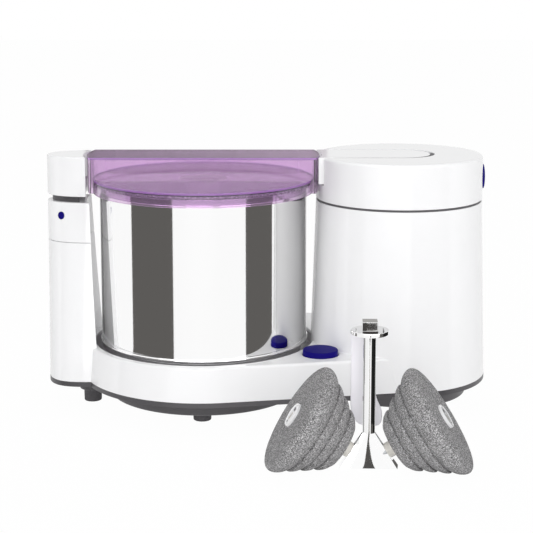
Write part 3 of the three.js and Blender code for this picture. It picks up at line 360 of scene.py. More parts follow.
@dataclass(frozen=True)
class PolishedSteel(Finish):
    """Stainless sheet polished to a mirror: sharp reflections that waver a little with the sheet."""

    roughness: float = 0.05
    wave_mm: float = 38.0
    wave_depth_mm: float = 0.02
    scuff_scale: float = 420.0

    def dress(self, tree: NodeTree, shader: Node, place: NodeSocket) -> None:
        """Sets a mirror metal with slow waves."""
        shader.inputs["Base Color"].default_value = linear(self.colour)
        shader.inputs["Metallic"].default_value = 1.0
        wave = patterned(tree, place, 1 / (self.wave_mm * MM), 1.0)
        scuff = patterned(tree, place, self.scuff_scale, 5.0)
        gloss = spread(tree, scuff, self.roughness * 0.6, self.roughness * 1.6)
        tree.links.new(gloss, shader.inputs["Roughness"])
        bumped(tree, shader, wave, 0.5, self.wave_depth_mm)


@dataclass(frozen=True)
class TurnedSteel(Finish):
    """Machined steel: satin, with fine tool marks in rings one above the other."""

    roughness: float = 0.34
    pitch_mm: float = 0.6
    shade: float = 0.8

    def dress(self, tree: NodeTree, shader: Node, place: NodeSocket) -> None:
        """Sets a satin metal with tool marks along its height."""
        shader.inputs["Metallic"].default_value = 1.0
        values = {"Scale": 0.3 / (self.pitch_mm * MM), "Distortion": 1.5, "Detail": 2.0}
        marks = banded(tree, place, values)
        base = linear(self.colour)
        colour = ramp(tree, marks, [(0.2, toned(base, self.shade)), (0.8, base)])
        tree.links.new(colour, shader.inputs["Base Color"])
        gloss = spread(tree, marks, self.roughness * 0.8, self.roughness * 1.3)
        tree.links.new(gloss, shader.inputs["Roughness"])


@dataclass(frozen=True)
class SoftRubber(Finish):
    """Moulded nitrile rubber: matt, with a fine bloom of lighter dust and a pitted skin."""

    pit_mm: float = 1.1
    pit_depth_mm: float = 0.05
    dust: float = 1.35

    def dress(self, tree: NodeTree, shader: Node, place: NodeSocket) -> None:
        """Sets a matt skin with dust and pits."""
        pits = patterned(tree, place, 1 / (self.pit_mm * MM), 4.0)
        base = linear(self.colour)
        colour = ramp(tree, pits, [(0.35, base), (0.75, toned(base, self.dust))])
        tree.links.new(colour, shader.inputs["Base Color"])
        tree.links.new(spread(tree, pits, 0.6, 0.85), shader.inputs["Roughness"])
        bumped(tree, shader, pits, 0.4, self.pit_depth_mm)


@dataclass(frozen=True)
class DressedGranite(Finish):
    """Granite dressed by chisel: a salt and pepper of pale, grey and near-black grains, matt and pitted."""

    dark: str = "#3f3e3f"
    pale: str = "#e6e5e6"
    grain_mm: float = 0.5
    cloud_scale: float = 55.0
    chip_depth_mm: float = 0.35

    def dress(self, tree: NodeTree, shader: Node, place: NodeSocket) -> None:
        """Sets the mix of grains, the clouds of tone and the pitted skin."""
        grains = add_node(
            tree, "ShaderNodeTexVoronoi", {"Scale": 1 / (self.grain_mm * MM)}, {"Vector": place}
        )
        fleck = patterned(tree, place, 1.4 / (self.grain_mm * MM), 5.0)
        cloud = patterned(tree, place, self.cloud_scale, 3.0)
        tone = add_node(tree, "ShaderNodeSeparateColor", links={"Color": grains.outputs["Color"]})
        mixed = add_node(
            tree,
            "ShaderNodeMix",
            {"Factor": 0.55},
            {"A": tone.outputs["Red"], "B": fleck},
            data_type="FLOAT",
        )
        base = linear(self.colour)
        stops = [(0.26, linear(self.dark)), (0.46, base), (0.56, base), (0.74, linear(self.pale))]
        colour = ramp(tree, mixed.outputs["Result"], stops)
        shade = spread(tree, cloud, 0.86, 1.12)
        whole = add_node(tree, "ShaderNodeVectorMath", links={0: colour, 1: shade}, operation="MULTIPLY")
        tree.links.new(whole.outputs["Vector"], shader.inputs["Base Color"])
        shader.inputs["Roughness"].default_value = 0.9
        shader.inputs["Specular IOR Level"].default_value = 0.15
        bumped(tree, shader, fleck, 0.8, self.chip_depth_mm)


@dataclass(frozen=True)
class WoundCore(Finish):
    """Motor core: thin steel sheets in a stack, with varnished copper between them."""

    sheet_mm: float = 1.0
    steel: str = "#5f6163"

    def dress(self, tree: NodeTree, shader: Node, place: NodeSocket) -> None:
        """Sets bands of sheet steel and copper."""
        sheets = banded(tree, place, {"Scale": 0.3 / (self.sheet_mm * MM), "Distortion": 0.4})
        colour = ramp(tree, sheets, [(0.4, linear(self.steel)), (0.6, linear(self.colour))])
        tree.links.new(colour, shader.inputs["Base Color"])
        shader.inputs["Metallic"].default_value = 0.8
        shader.inputs["Roughness"].default_value = 0.42


WHITE_ABS = MouldedAbs("white_gloss_abs", "#f7f7f8", Slot.WHITE, roughness=0.12, shade=0.985)
GRAPHITE_ABS = MouldedAbs("graphite_satin_abs", "#4d4b4e", Slot.DARK, roughness=0.4, shade=0.9)
# White plastic made grey: painted shade on the column's hollow side next to the drum.
PAINTED_SHADE_ABS = MouldedAbs("white_abs_painted_shade_hollow", "#9d9b9e", Slot.WHITE, roughness=0.35)
# Dark plastic made light grey: painted light in the deep gap round the drum.
WELL_PAINTED_LIGHT_ABS = MouldedAbs("well_abs_painted_light", "#b9b7ba", Slot.DARK, roughness=0.4)
NAVY_ABS = MouldedAbs("navy_gloss_abs", "#191172", Slot.BLUE, roughness=0.45, sheen_level=0.03)
CREAM_NYLON = MouldedAbs("cream_nylon", "#dcd9d2", Slot.WHITE, roughness=0.35)
# Beige painted shade for the slot in a retainer.
BEIGE_PAINTED_SHADE = MouldedAbs("beige_painted_slot_shade", "#a8a39a", Slot.WHITE, roughness=0.4)
LILAC_NYLON = MouldedAbs("lilac_white_nylon", "#f1eff5", Slot.WHITE, roughness=0.3)
LILAC_STYRENE = TintedStyrene("lilac_clear_styrene", "#e6cdea", Slot.LILAC)
# Lighter and darker copies of the lilac styrene: painted light and painted shade on parts of the lid and the
# bridge.
LILAC_PAINTED_LIGHT_REAR = TintedStyrene("lilac_painted_light_rear_disc", "#fefaff", Slot.LILAC)
LILAC_PAINTED_SHADE_FRONT = TintedStyrene("lilac_painted_shade_front", "#9b7aab", Slot.LILAC)
LILAC_PAINTED_SHADE_SKIRT = TintedStyrene("lilac_painted_shade_skirt", "#d0bbd6", Slot.LILAC)
LILAC_PAINTED_SHADE_TOP = TintedStyrene("lilac_painted_shade_bridge_top", "#9a8aa0", Slot.LILAC)
LILAC_PAINTED_LIGHT_EDGE = TintedStyrene("lilac_painted_light_edge", "#b37fcb", Slot.LILAC, roughness=0.2, clear=0.4)
CLEAR_SILICONE = TintedStyrene("clear_silicone", "#f3e8f5", Slot.RUBBER, roughness=0.25, clear=0.8)
MIRROR_STEEL = PolishedSteel("mirror_stainless_steel", "#fafafa", Slot.MIRROR)
MACHINED_STEEL = TurnedSteel("machined_steel", "#b4b6b8", Slot.STEEL)
FOOT_RUBBER = SoftRubber("grey_moulded_rubber", "#565457", Slot.RUBBER)
BELT_RUBBER = SoftRubber("black_belt_rubber", "#2c2b2d", Slot.RUBBER)
GRANITE = DressedGranite("dressed_granite", "#8a898a", Slot.GRANITE)
COPPER_CORE = WoundCore("wound_motor_core", "#9a6238", Slot.WINDINGS)


# Outlines


def softened(corners: Sequence[Corner], steps: int = 4) -> list[Point]:
    """Rounds the corners of a closed outline.

    Args:
        corners: Points with the reach of the rounding at each, 0 for a sharp corner.
        steps: Segments of each rounding.

    Returns:
        The points of the rounded outline.
    """
    points: list[Point] = []
    count = len(corners)
    for i, (x, y, reach) in enumerate(corners):
        if reach <= 0:
            points.append((x, y))
            continue
        here = Vector((x, y))
        before = Vector(corners[i - 1][:2]) - here
        after = Vector(corners[(i + 1) % count][:2]) - here
        start = here + before.normalized() * min(reach, before.length * 0.49)
        end = here + after.normalized() * min(reach, after.length * 0.49)
        for k in range(steps + 1):
            t = k / steps
            spot = start * (1 - t) ** 2 + here * (2 * t * (1 - t)) + end * t**2
            points.append((spot.x, spot.y))
    return points


def arc(centre: Point, radius: float, start: float, end: float, steps: int) -> list[Point]:
    """Points of an arc.

    Args:
        centre: Its centre.
        radius: Its radius.
        start: First angle in radians.
        end: Last angle in radians.
        steps: Segments between them.

    Returns:
        The points, both ends included.
    """
    angles = [start + (end - start) * i / steps for i in range(steps + 1)]
    return [(centre[0] + radius * math.cos(a), centre[1] + radius * math.sin(a)) for a in angles]


def between(ends: Point, share: float) -> float:
    """The value at a share of the way from one end to the other."""
    return ends[0] + (ends[1] - ends[0]) * share


def levels(low: float, high: float, count: int) -> list[float]:
    """Even steps from one height to another, both included."""
    return [low + (high - low) * i / count for i in range(count + 1)]


# Solids


def tidied(shape: BMesh) -> BMesh:
    """Merges doubled corners and turns all faces outwards, in place."""
    bmesh.ops.remove_doubles(shape, verts=shape.verts[:], dist=MERGE)
    bmesh.ops.dissolve_degenerate(shape, edges=shape.edges[:], dist=MERGE)
    bmesh.ops.recalc_face_normals(shape, faces=shape.faces[:])
    return shape


def turned(outline: Sequence[Point], steps: int = 96) -> BMesh:
    """Spins an outline of radius and height round the upright axis.

    Args:
        outline: The section. It starts and ends on the axis, or is closed.
        steps: Faces round the turn.

    Returns:
        The turned solid.
    """
    shape = bmesh.new()
    section = [shape.verts.new((radius, 0, height)) for radius, height in outline]
    edges = [shape.edges.new(pair) for pair in zip(section, section[1:])]
    if min(outline[0][0], outline[-1][0]) > MERGE:
        edges.append(shape.edges.new((section[-1], section[0])))
    bmesh.ops.spin(
        shape,
        geom=[*section, *edges],
        cent=(0, 0, 0),
        axis=(0, 0, 1),
        angle=FULL_TURN,
        steps=steps,
        use_merge=True,
    )
    return tidied(shape)


def ring(inner: float, outer: float, bottom: float, top: float, steps: int) -> BMesh:
    """A plain ring round the upright axis, or a disc where the inner radius is 0."""
    return turned([(inner, bottom), (outer, bottom), (outer, top), (inner, top)], steps)


def raised(outline: Sequence[Point], bottom: float, top: float) -> BMesh:
    """Extrudes a flat outline from one height to another.

    Args:
        outline: Points in plan.
        bottom: Lower height.
        top: Upper height.

    Returns:
        The prism.
    """
    shape = bmesh.new()
    face = shape.faces.new([shape.verts.new((x, y, bottom)) for x, y in outline])
    grown = bmesh.ops.extrude_face_region(shape, geom=[face])
    lifted = [part for part in grown["geom"] if isinstance(part, BMVert)]
    bmesh.ops.translate(shape, verts=lifted, vec=(0, 0, top - bottom))
    return tidied(shape)


def lofted(rings: Sequence[Sequence[Vector]]) -> BMesh:
    """Extrudes a face from ring to ring.

    Args:
        rings: Rings of equal length, from the lowest to the highest.

    Returns:
        The solid through all rings.
    """
    shape = bmesh.new()
    face = shape.faces.new([shape.verts.new(point) for point in rings[0]])
    for number, (before, ring) in enumerate(zip(rings, rings[1:])):
        places = {tuple(round(c, 3) for c in point): i for i, point in enumerate(before)}
        grown = bmesh.ops.extrude_face_region(shape, geom=[face])
        if number > 0:
            bmesh.ops.delete(shape, geom=[face], context="FACES_ONLY")
        face = next(part for part in grown["geom"] if isinstance(part, BMFace))
        for vert in face.verts:
            vert.co = ring[places[tuple(round(c, 3) for c in vert.co)]]
    return tidied(shape)


def block(low: Sequence[float], high: Sequence[float]) -> BMesh:
    """A box between two corners, as a start for other work."""
    shape = bmesh.new()
    bmesh.ops.create_cube(shape, size=1.0)
    size = Vector(high) - Vector(low)
    middle = (Vector(high) + Vector(low)) / 2
    bmesh.ops.scale(shape, verts=shape.verts[:], vec=size)
    bmesh.ops.translate(shape, verts=shape.verts[:], vec=middle)
    return shape


def moved(shape: BMesh, matrix: Matrix) -> BMesh:
    """Moves a solid by a matrix, in place."""
    bmesh.ops.transform(shape, matrix=matrix, verts=shape.verts[:])
    if matrix.determinant() < 0:
        bmesh.ops.reverse_faces(shape, faces=shape.faces[:])
    return shape


def at(x: float = 0, y: float = 0, z: float = 0) -> Matrix:
    """A move along the three axes."""
    return Matrix.Translation((x, y, z))


def about(axis: str, degrees: float) -> Matrix:
    """A turn about one of the axes X, Y and Z."""
    return Matrix.Rotation(math.radians(degrees), 4, axis)


def gathered(shapes: Iterable[BMesh]) -> BMesh:
    """Puts several solids in one mesh, each still closed by itself.

    Args:
        shapes: The solids, which are used up.

    Returns:
        The mesh that holds them all.
    """
    whole = bmesh.new()
    for shape in shapes:
        mesh = mesh_of("part", shape)
        whole.from_mesh(mesh)
        bpy.data.meshes.remove(mesh)
    return whole


def working_copy(shape: BMesh) -> Object:
    """Puts a solid into a short-lived object and uses the solid up."""
    return placed("working", mesh_of("working", shape))


def combined(shape: BMesh, others: Iterable[BMesh], how: Operation) -> BMesh:
    """Joins other solids to one, or cuts them from it.

    Args:
        shape: The solid to change.
        others: The solids that change it, which are used up.
        how: Join or cut.

    Returns:
        The changed solid.
    """
    base = working_copy(shape)
    tools = [working_copy(other) for other in others]
    for tool in tools:
        change = base.modifiers.new("change", "BOOLEAN")
        change.operation = how.value
        change.solver = "EXACT"
        change.object = tool
    graph = bpy.context.evaluated_depsgraph_get()
    mesh = bpy.data.meshes.new_from_object(base.evaluated_get(graph))
    result = bmesh.new()
    result.from_mesh(mesh)
    for used in (base, *tools):
        old = used.data
        bpy.data.objects.remove(used)
        bpy.data.meshes.remove(old)
    bpy.data.meshes.remove(mesh)
    bmesh.ops.remove_doubles(result, verts=result.verts[:], dist=MERGE)
    return result


def edged(shape: BMesh, width: float, steps: int = 2, least: float = 40.0) -> BMesh:
    """Rounds every edge that is sharper than an angle.

    Args:
        shape: The solid, changed in place.
        width: Reach of the rounding.
        steps: Segments of the rounding.
        least: Least angle between faces in degrees.

    Returns:
        The same solid.
    """
    limit = math.radians(least)
    sharp = [e for e in shape.edges if e.is_manifold and e.calc_face_angle(0.0) > limit]
    bmesh.ops.bevel(
        shape,
        geom=sharp,
        offset=width,
        offset_type="OFFSET",
        segments=steps,
        profile=0.5,
        affect="EDGES",
        clamp_overlap=True,
        material=-1,
    )
    return shape


def roughened(shape: BMesh, depth: float, size: float) -> BMesh:
    """Moves every corner a little along its normal, as on dressed stone.

    Args:
        shape: The solid, changed in place.
        depth: Farthest move.
        size: Size of the unevenness.

    Returns:
        The same solid.
    """
    shape.normal_update()
    for vert in shape.verts:
        vert.co += vert.normal * depth * noise.noise(vert.co / size)
    return shape


@dataclass
class Maker:
    """Turns finished solids into pieces of the object in the frame."""

    drum_axis: Vector
    assembly_axis: Vector
    assembly_turn: float = -2.0
    made: list[str] = field(default_factory=list)

    def machine_place(self) -> Matrix:
        """The move from the machine's drawing to the row frame."""
        return Matrix.Translation(self.drum_axis) @ Matrix.Scale(MM, 4)

    def assembly_place(self) -> Matrix:
        """The move from the stone assembly's drawing to the row frame."""
        turn = Matrix.Rotation(math.radians(self.assembly_turn), 4, "Z")
        return Matrix.Translation(self.assembly_axis) @ turn @ Matrix.Scale(MM, 4)

    def publish(
        self,
        name: str,
        shape: BMesh,
        finish: Finish,
        body: Body,
        nodes: Sequence[str],
        place: Matrix | None = None,
        crease: float = 38.0,
        parts: Sequence[tuple[Finish, Callable[[BMFace], bool]]] = (),
    ) -> Object:
        """Makes a piece that rides on a body and stands for frame nodes.

        Args:
            name: The piece's name.
            shape: Its solid, which is used up.
            finish: Its finish.
            body: The body it rides on.
            nodes: The frame nodes that it stands for.
            place: The move to the row frame; the machine's when left out.
            crease: Angle in degrees above which an edge stays sharp in shading.
            parts: Other finishes, each with a test that picks its faces before the move.

        Returns:
            The piece.
        """
        shape.normal_update()
        for face in shape.faces:
            for index, (_, picks) in enumerate(parts, 1):
                if picks(face):
                    face.material_index = index
                    break
        moved(shape, place if place is not None else self.machine_place())
        mesh = mesh_of(name, shape)
        mesh.shade_smooth()
        mesh.set_sharp_from_angle(angle=math.radians(crease))
        for each in (finish, *(other for other, _ in parts)):
            mesh.materials.append(each.material())
        piece = placed(name, mesh)
        piece.visible_glossy = body not in LOOSE
        weighted = piece.modifiers.new("even shading", "WEIGHTED_NORMAL")
        weighted.keep_sharp = True
        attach(piece, body.value)
        if nodes:
            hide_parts(*nodes)
        self.made.append(name)
        LOG.info("%s: %d faces, rides on %s", name, len(mesh.polygons), body.value)
        return piece


# The machine


@dataclass
class Plan:
    """Outlines in plan that several mouldings share."""

    drum_round: float = 112.0
    tangent_inset: float = 33.2
    tower_x: float = 179.6
    column_x: float = -103.0
    column_half_width: float = 40.4
    column_depth: Point = (48.0, 26.0)
    column_squareness: Point = (3.0, 2.05)
    bottom: float = 30.9
    top: float = 192.0
    round_steps: int = 96
    column_steps: int = 72
    column_arc_steps: int = 28
    search_steps: int = 40

    def platform(self, radius: float) -> list[Point]:
        """The drum's round and the tower's round with their common tangents."""
        small = radius - self.tangent_inset
        tangent = math.acos((radius - small) / self.tower_x)
        large = arc((0, 0), radius, tangent, FULL_TURN - tangent, self.round_steps)
        return [*large, *arc((self.tower_x, 0), small, -tangent, tangent, self.round_steps // 3)]

    def share(self, z: float) -> float:
        """Height as a share of the way up the housing, at most 1."""
        return min((z - self.bottom) / (self.top - self.bottom), 1.0)

    def column(self, z: float, inset: float, drum_space: float, gain: float = 0.0) -> list[Vector]:
        """The column's plan at a height, hollowed by the drum's space.

        Args:
            z: The height.
            inset: How far it is drawn in.
            drum_space: Radius of the round space round the drum's axis.
            gain: How much nearer to that axis the front corner stands.

        Returns:
            A ring of corners, always of the same length.
        """
        share = self.share(z)
        depth = between(self.column_depth, share) - inset
        power = 2 / between(self.column_squareness, share)
        width = self.column_half_width - inset

        def spot(angle: float) -> Point:
            """A point of the rounded oblong."""
            c, s = math.cos(angle), math.sin(angle)
            x = self.column_x + width * math.copysign(abs(c) ** power, c)
            return (x, depth * math.copysign(abs(s) ** power, s))

        def meets(radius: float) -> float:
            """The angle at which the oblong comes to a distance from the drum's axis."""
            low, high = 0.0, math.pi
            for _ in range(self.search_steps):
                middle = (low + high) / 2
                if math.hypot(*spot(middle)) < radius:
                    low = middle
                else:
                    high = middle
            return high

        rear, front = meets(drum_space), meets(drum_space - gain)
        turn = FULL_TURN - rear - front
        outer = [spot(rear + turn * i / self.column_steps) for i in range(self.column_steps + 1)]
        end = math.atan2(outer[-1][1], outer[-1][0])
        start = math.atan2(outer[0][1], outer[0][0])
        sweep = (start - end) % FULL_TURN if start > end else (start + FULL_TURN - end) % FULL_TURN
        sweep = sweep if sweep < math.pi else sweep - FULL_TURN
        inner = []
        for i in range(1, self.column_arc_steps):
            part = i / self.column_arc_steps
            radius, angle = drum_space - gain * (1 - part), end + sweep * part
            inner.append((radius * math.cos(angle), radius * math.sin(angle)))
        return [Vector((x, y, z)) for x, y in [*outer, *inner]]

    def tail(self, half: float, left: float, centre: float, steps: int = 40) -> list[Point]:
        """The arm tail's plan: straight sides and a round end."""
        return [(left, -half), *arc((centre, 0), half, -math.pi / 2, math.pi / 2, steps), (left, half)]

    def strip(self, half: float, radius: float, steps: int = 24) -> list[Point]:
        """Parallel sides between round ends about the drum's axis."""
        reach = math.asin(half / radius)
        right = arc((0, 0), radius, -reach, reach, steps)
        left = arc((0, 0), radius, math.pi - reach, math.pi + reach, steps)
        return [*right, *left]


@dataclass
class Housing:
    """White mouldings, dark tray, well, neck, gasket, cap, pilot lens, feet and cord gland."""

    plan: Plan
    bowl_round: int = 128
    foot_round: int = 48
    platform_top: float = 61.6
    platform_draft: float = 3.0
    platform_rounding: float = 2.4
    rounding_steps: int = 5
    deck: float = 3.0
    rim_rounding: float = 0.9
    rim_chamfer: float = 0.27
    opening_play: float = 0.3
    tower_radius: Point = (81.3, 76.2)
    tower_shoulder: float = 12.0
    shoulder_rounding: float = 0.5
    wall: float = 3.0
    column_space: float = 109.4
    column_gain: float = 3.9
    column_levels: int = 8
    column_edge: float = 0.5
    column_foot_x: float = -80.0
    cover_levels: int = 5
    cover_edge: float = 0.6
    seam: float = 156.0
    seam_gap: float = 0.3
    lens_offset: float = 25.7
    lens_z: float = 180.0
    lens_radius: float = 3.35
    lens_hole: float = 3.65
    lens_root: float = -4.0
    lens_hole_root: float = -6.0
    lens_proud: float = 0.1
    lens_dome: float = 0.6
    lens_steps: int = 6
    hook_space: tuple[Place, Place] = ((-132.5, -7.5, 170.0), (-120.5, 7.5, 199.0))
    well_radius: float = 101.7
    well_inner: float = 102.7
    well_outer: float = 105.0
    well_floor: float = 48.0
    well_wall: float = 3.0
    well_rounding: Point = (1.5, 0.5)
    hub_radius: float = 24.0
    hub_play: float = 0.5
    tray_bottom: float = 11.8
    tray_edge: float = 0.9
    band_bottom: float = 26.5
    band_overlap: float = 40.0
    drum_bowl: float = 90.0
    tower_bowl: float = 66.0
    bowl_wall: float = 3.0
    bowl_flare: float = 2.0
    bowl_fillet: float = 0.8
    bowl_overlap: float = 1.5
    boss_radius: Point = (12.0, 13.0)
    boss_rounding: float = 1.2
    boss_overlap: float = 1.0
    neck_top: float = 197.1
    neck_inset: float = 4.4
    gasket_inset: float = 1.1
    gasket_width: float = 9.0
    gasket_rounding: float = 0.4
    cap_bottom: float = 194.0
    machine_top: float = 233.8
    cap_rounding: float = 3.0
    cap_foot_rounding: float = 0.6
    cap_edge: float = 0.35
    power: Point = (106.0, -63.0)
    power_hole: float = 16.3
    power_step: float = 1.0
    hinge_x: float = 183.7
    tail_centre: float = 182.2
    slot_half: float = 29.7
    slot_start: float = 60.0
    slot_floor: float = 208.5
    pocket_reach: float = 21.0
    pocket_floor: float = 194.8
    release_z: float = 213.0
    release_hole: Point = (12.0, 231.0)
    rod_hole: Point = (4.3, 217.3)
    hole_end: float = 262.0
    left_foot_x: float = -105.5
    drum_foot_y: float = 60.0
    tower_foot: Point = (212.6, 42.0)
    foot_radius: Point = (8.1, 8.3)
    foot_rounding: Point = (0.4, 1.2)
    screw_recess: Point = (4.0, 2.0)
    gland_z: float = 46.0
    gland_face: float = 81.4
    gland_end: float = 95.4
    gland_root: float = 8.0
    gland_bore: float = 3.6
    gland_radius: float = 6.2
    flange_radius: float = 9.0
    flange_thickness: float = 2.0
    flange_chamfer: float = 0.4
    rib_count: int = 4
    rib_pitch: float = 2.6
    rib_taper: float = 0.35
    rib_start: float = 1.4
    rib_profile: tuple[Point, ...] = ((-0.7, 0.0), (-0.7, 0.9), (0.0, 1.1), (-0.1, 2.4))
    gland_tip: Point = (1.2, 0.8)

    def build(self, maker: Maker) -> None:
        """Makes every fixed outer piece."""
        self.moulding(maker)
        self.column_cover(maker)
        self.tray(maker)
        self.well(maker)
        self.neck(maker)
        self.gasket(maker)
        self.cap(maker)
        self.lens(maker)
        self.feet(maker)
        self.gland(maker)

    def moulding(self, maker: Maker) -> None:
        """Platform with its two openings, tower wall and lower column, in one moulding, with painted shade on
        the column's hollow side.
        """
        heights = levels(self.plan.bottom, self.seam, self.column_levels)
        column = lofted([self.column_ring(z) for z in heights])
        maker.publish(
            "housing_moulding",
            gathered([self.platform(), self.tower(), edged(column, self.column_edge, least=50)]),
            WHITE_ABS,
            Body.HOUSING,
            ["base_housing"],
            parts=[(PAINTED_SHADE_ABS, self.is_inner_face)],
        )

    def platform(self) -> BMesh:
        """The platform's shell with a rounded top edge, open for the drum and the power button."""
        rings = [[Vector((x, y, self.plan.bottom)) for x, y in self.plan.platform(self.plan.drum_round)]]
        for i in range(self.rounding_steps + 1):
            angle = math.pi / 2 * i / self.rounding_steps
            inset = self.platform_draft + self.platform_rounding * (1 - math.cos(angle))
            z = self.platform_top - self.platform_rounding * (1 - math.sin(angle))
            rings.append([Vector((x, y, z)) for x, y in self.plan.platform(self.plan.drum_round - inset)])
        hollow = raised(
            self.plan.platform(self.plan.drum_round - self.platform_draft - self.wall),
            self.plan.bottom - OVERRUN,
            self.platform_top - self.deck,
        )
        openings = [
            self.opening(self.well_radius, self.well_outer),
            moved(self.opening(self.power_hole, self.power_hole + self.power_step), at(*self.power)),
        ]
        return combined(lofted(rings), [hollow, *openings], Operation.CUT)

    def tower(self) -> BMesh:
        """The tower's tapered wall with a shoulder that carries the gasket."""
        low, high = self.tower_radius
        outline = softened(
            [
                (low - self.wall, self.plan.bottom, 0), (low, self.plan.bottom, 0),
                (high, self.plan.top, self.shoulder_rounding),
                (high - self.tower_shoulder, self.plan.top, 0),
                (high - self.tower_shoulder, self.plan.top - self.wall, 0),
                (high - self.wall, self.plan.top - self.wall, 0),
            ]
        )
        return moved(turned(outline, LARGE_ROUND), at(self.plan.tower_x))

    def column_ring(self, z: float) -> list[Vector]:
        """The column's outline at a height."""
        return self.plan.column(z, 0, self.column_space, self.column_gain)

    def is_inner_face(self, face: BMFace) -> bool:
        """Tells the hollow side of the column, next to the drum, which gets painted shade."""
        centre = face.calc_center_median()
        away = centre.xy.length
        inward = -centre.xy.dot(face.normal.xy) / max(away, 1.0)
        near = self.column_space - self.column_gain - 1 < away < self.column_space + 1
        return centre.x < self.column_foot_x and centre.z > self.plan.top + 1 and inward > 0.8 and near

    def opening(self, radius: float, below: float) -> BMesh:
        """The cutter of a round opening with a softened rim, wider below the deck."""
        top, under = self.platform_top, self.platform_top - self.deck
        wide = below + self.opening_play
        outline = [
            (0, self.plan.bottom - OVERRUN),
            (wide, self.plan.bottom - OVERRUN),
            (wide, under),
            (radius, under),
            (radius, top - self.rim_rounding),
            (radius + self.rim_chamfer, top - self.rim_chamfer),
            (radius + self.rim_rounding, top),
            (radius + self.rim_rounding, top + OVERRUN),
            (0, top + OVERRUN),
        ]
        return turned(outline, LARGE_ROUND)

    def column_cover(self, maker: Maker) -> None:
        """Upper shell of the column, above the seam, with painted shade on its hollow side."""
        heights = levels(self.seam + self.seam_gap, self.plan.top, self.cover_levels)
        body = edged(lofted([self.column_ring(z) for z in heights]), self.cover_edge, least=50)
        lens_hole = self.lens_bar(self.lens_hole, self.lens_hole_root, OVERRUN)
        body = combined(body, [block(*self.hook_space), lens_hole], Operation.CUT)
        parts = [(PAINTED_SHADE_ABS, self.is_inner_face)]
        maker.publish("column_cover", body, WHITE_ABS, Body.HOUSING, ["column_shell"], parts=parts)

    def lens_bar(self, radius: float, start: float, end: float, dome: float = 0.0) -> BMesh:
        """A bar along the normal of the column's face at the pilot lamp.

        Args:
            radius: Its radius.
            start: Its inner end, along the normal.
            end: Its outer end.
            dome: Rise of its outer face.

        Returns:
            The bar.
        """
        share = self.plan.share(self.lens_z)
        power = between(self.plan.column_squareness, share)
        depth = between(self.plan.column_depth, share)
        across = self.lens_offset / self.plan.column_half_width
        along = (1 - across**power) ** (1 / power)
        normal = math.atan2(
            -(along ** (power - 1)) / depth, -(across ** (power - 1)) / self.plan.column_half_width
        )
        turns = [math.pi / 2 * k / self.lens_steps for k in range(self.lens_steps, -1, -1)]
        face = [(radius * math.sin(t), end + dome * math.cos(t)) for t in turns]
        bar = turned([(0, start), (radius, start), *face], 32)
        turn = Matrix.Rotation(normal, 4, "Z") @ about("Y", 90)
        return moved(bar, at(self.plan.column_x - self.lens_offset, -depth * along, self.lens_z) @ turn)

    def tray(self, maker: Maker) -> None:
        """Dark tray: band under the housing, two bowls and the boss of the left foot."""
        band, top, bottom = self.band_bottom, self.plan.bottom, self.tray_bottom
        column = [(p.x, p.y) for p in self.plan.column(top, 0, self.band_overlap)]
        tower = moved(ring(0, self.tower_radius[0], band, top, LARGE_ROUND), at(self.plan.tower_x))
        bands = [tower, raised(column, band, top)]
        whole = combined(raised(self.plan.platform(self.plan.drum_round), band, top), bands, Operation.JOIN)
        whole = edged(whole, self.tray_edge, steps=3, least=60)
        places = ((0, self.drum_bowl), (self.plan.tower_x, self.tower_bowl))
        bowls = [self.bowl(x, radius) for x, radius in places]
        whole = combined(whole, [self.bowl_space(x, radius) for x, radius in places], Operation.CUT)
        low, high = self.boss_radius
        lid = band + self.boss_overlap
        outline = softened([(0, bottom, 0), (low, bottom, self.boss_rounding), (high, lid, 0), (0, lid, 0)])
        boss = moved(turned(outline, self.foot_round), at(self.left_foot_x))
        maker.publish(
            "bottom_cover", gathered([whole, *bowls, boss]), GRAPHITE_ABS, Body.HOUSING, ["bottom_tray"]
        )

    def bowl(self, x: float, radius: float) -> BMesh:
        """A bowl of the tray as a thin shell."""
        bottom, thick = self.tray_bottom, self.bowl_wall
        rim = self.band_bottom + thick
        outline = softened(
            [
                (0, bottom, 0), (radius - self.bowl_flare, bottom, self.bowl_flare), (radius, rim, 0),
                (radius - thick, rim, 0),
                (radius - thick - self.bowl_flare, bottom + thick, self.bowl_fillet),
                (0, bottom + thick, 0),
            ]
        )
        return moved(turned(outline, self.bowl_round), at(x))

    def bowl_space(self, x: float, radius: float) -> BMesh:
        """The space inside a bowl, cut from the band."""
        low, high = self.band_bottom - OVERRUN, self.plan.bottom + OVERRUN
        return moved(ring(0, radius - self.bowl_overlap, low, high, self.bowl_round), at(x))

    def well(self, maker: Maker) -> None:
        """Cup of dark plastic inside the platform's opening, its colour made light grey: painted light in the
        deep gap round the drum.
        """
        floor, under = self.well_floor, self.platform_top - self.deck
        start = self.hub_radius + self.hub_play
        outline = softened(
            [
                (start, floor - self.well_wall, 0), (self.well_outer, floor - self.well_wall, 0),
                (self.well_outer, under, 0), (self.well_inner, under, 0),
                (self.well_inner, floor, self.well_rounding[0]), (start, floor, self.well_rounding[1]),
            ]
        )
        cup = turned(outline, LARGE_ROUND)
        maker.publish("drum_well_cup", cup, WELL_PAINTED_LIGHT_ABS, Body.HOUSING, ["drum_well"])

    def neck(self, maker: Maker) -> None:
        """Dark neck between the column and the arm."""
        space = self.column_space + self.neck_inset
        rings = [self.plan.column(z, self.neck_inset, space) for z in (self.plan.top, self.neck_top)]
        body = combined(lofted(rings), [block(*self.hook_space)], Operation.CUT)
        maker.publish("column_neck", body, GRAPHITE_ABS, Body.HOUSING, ["latch_neck"])

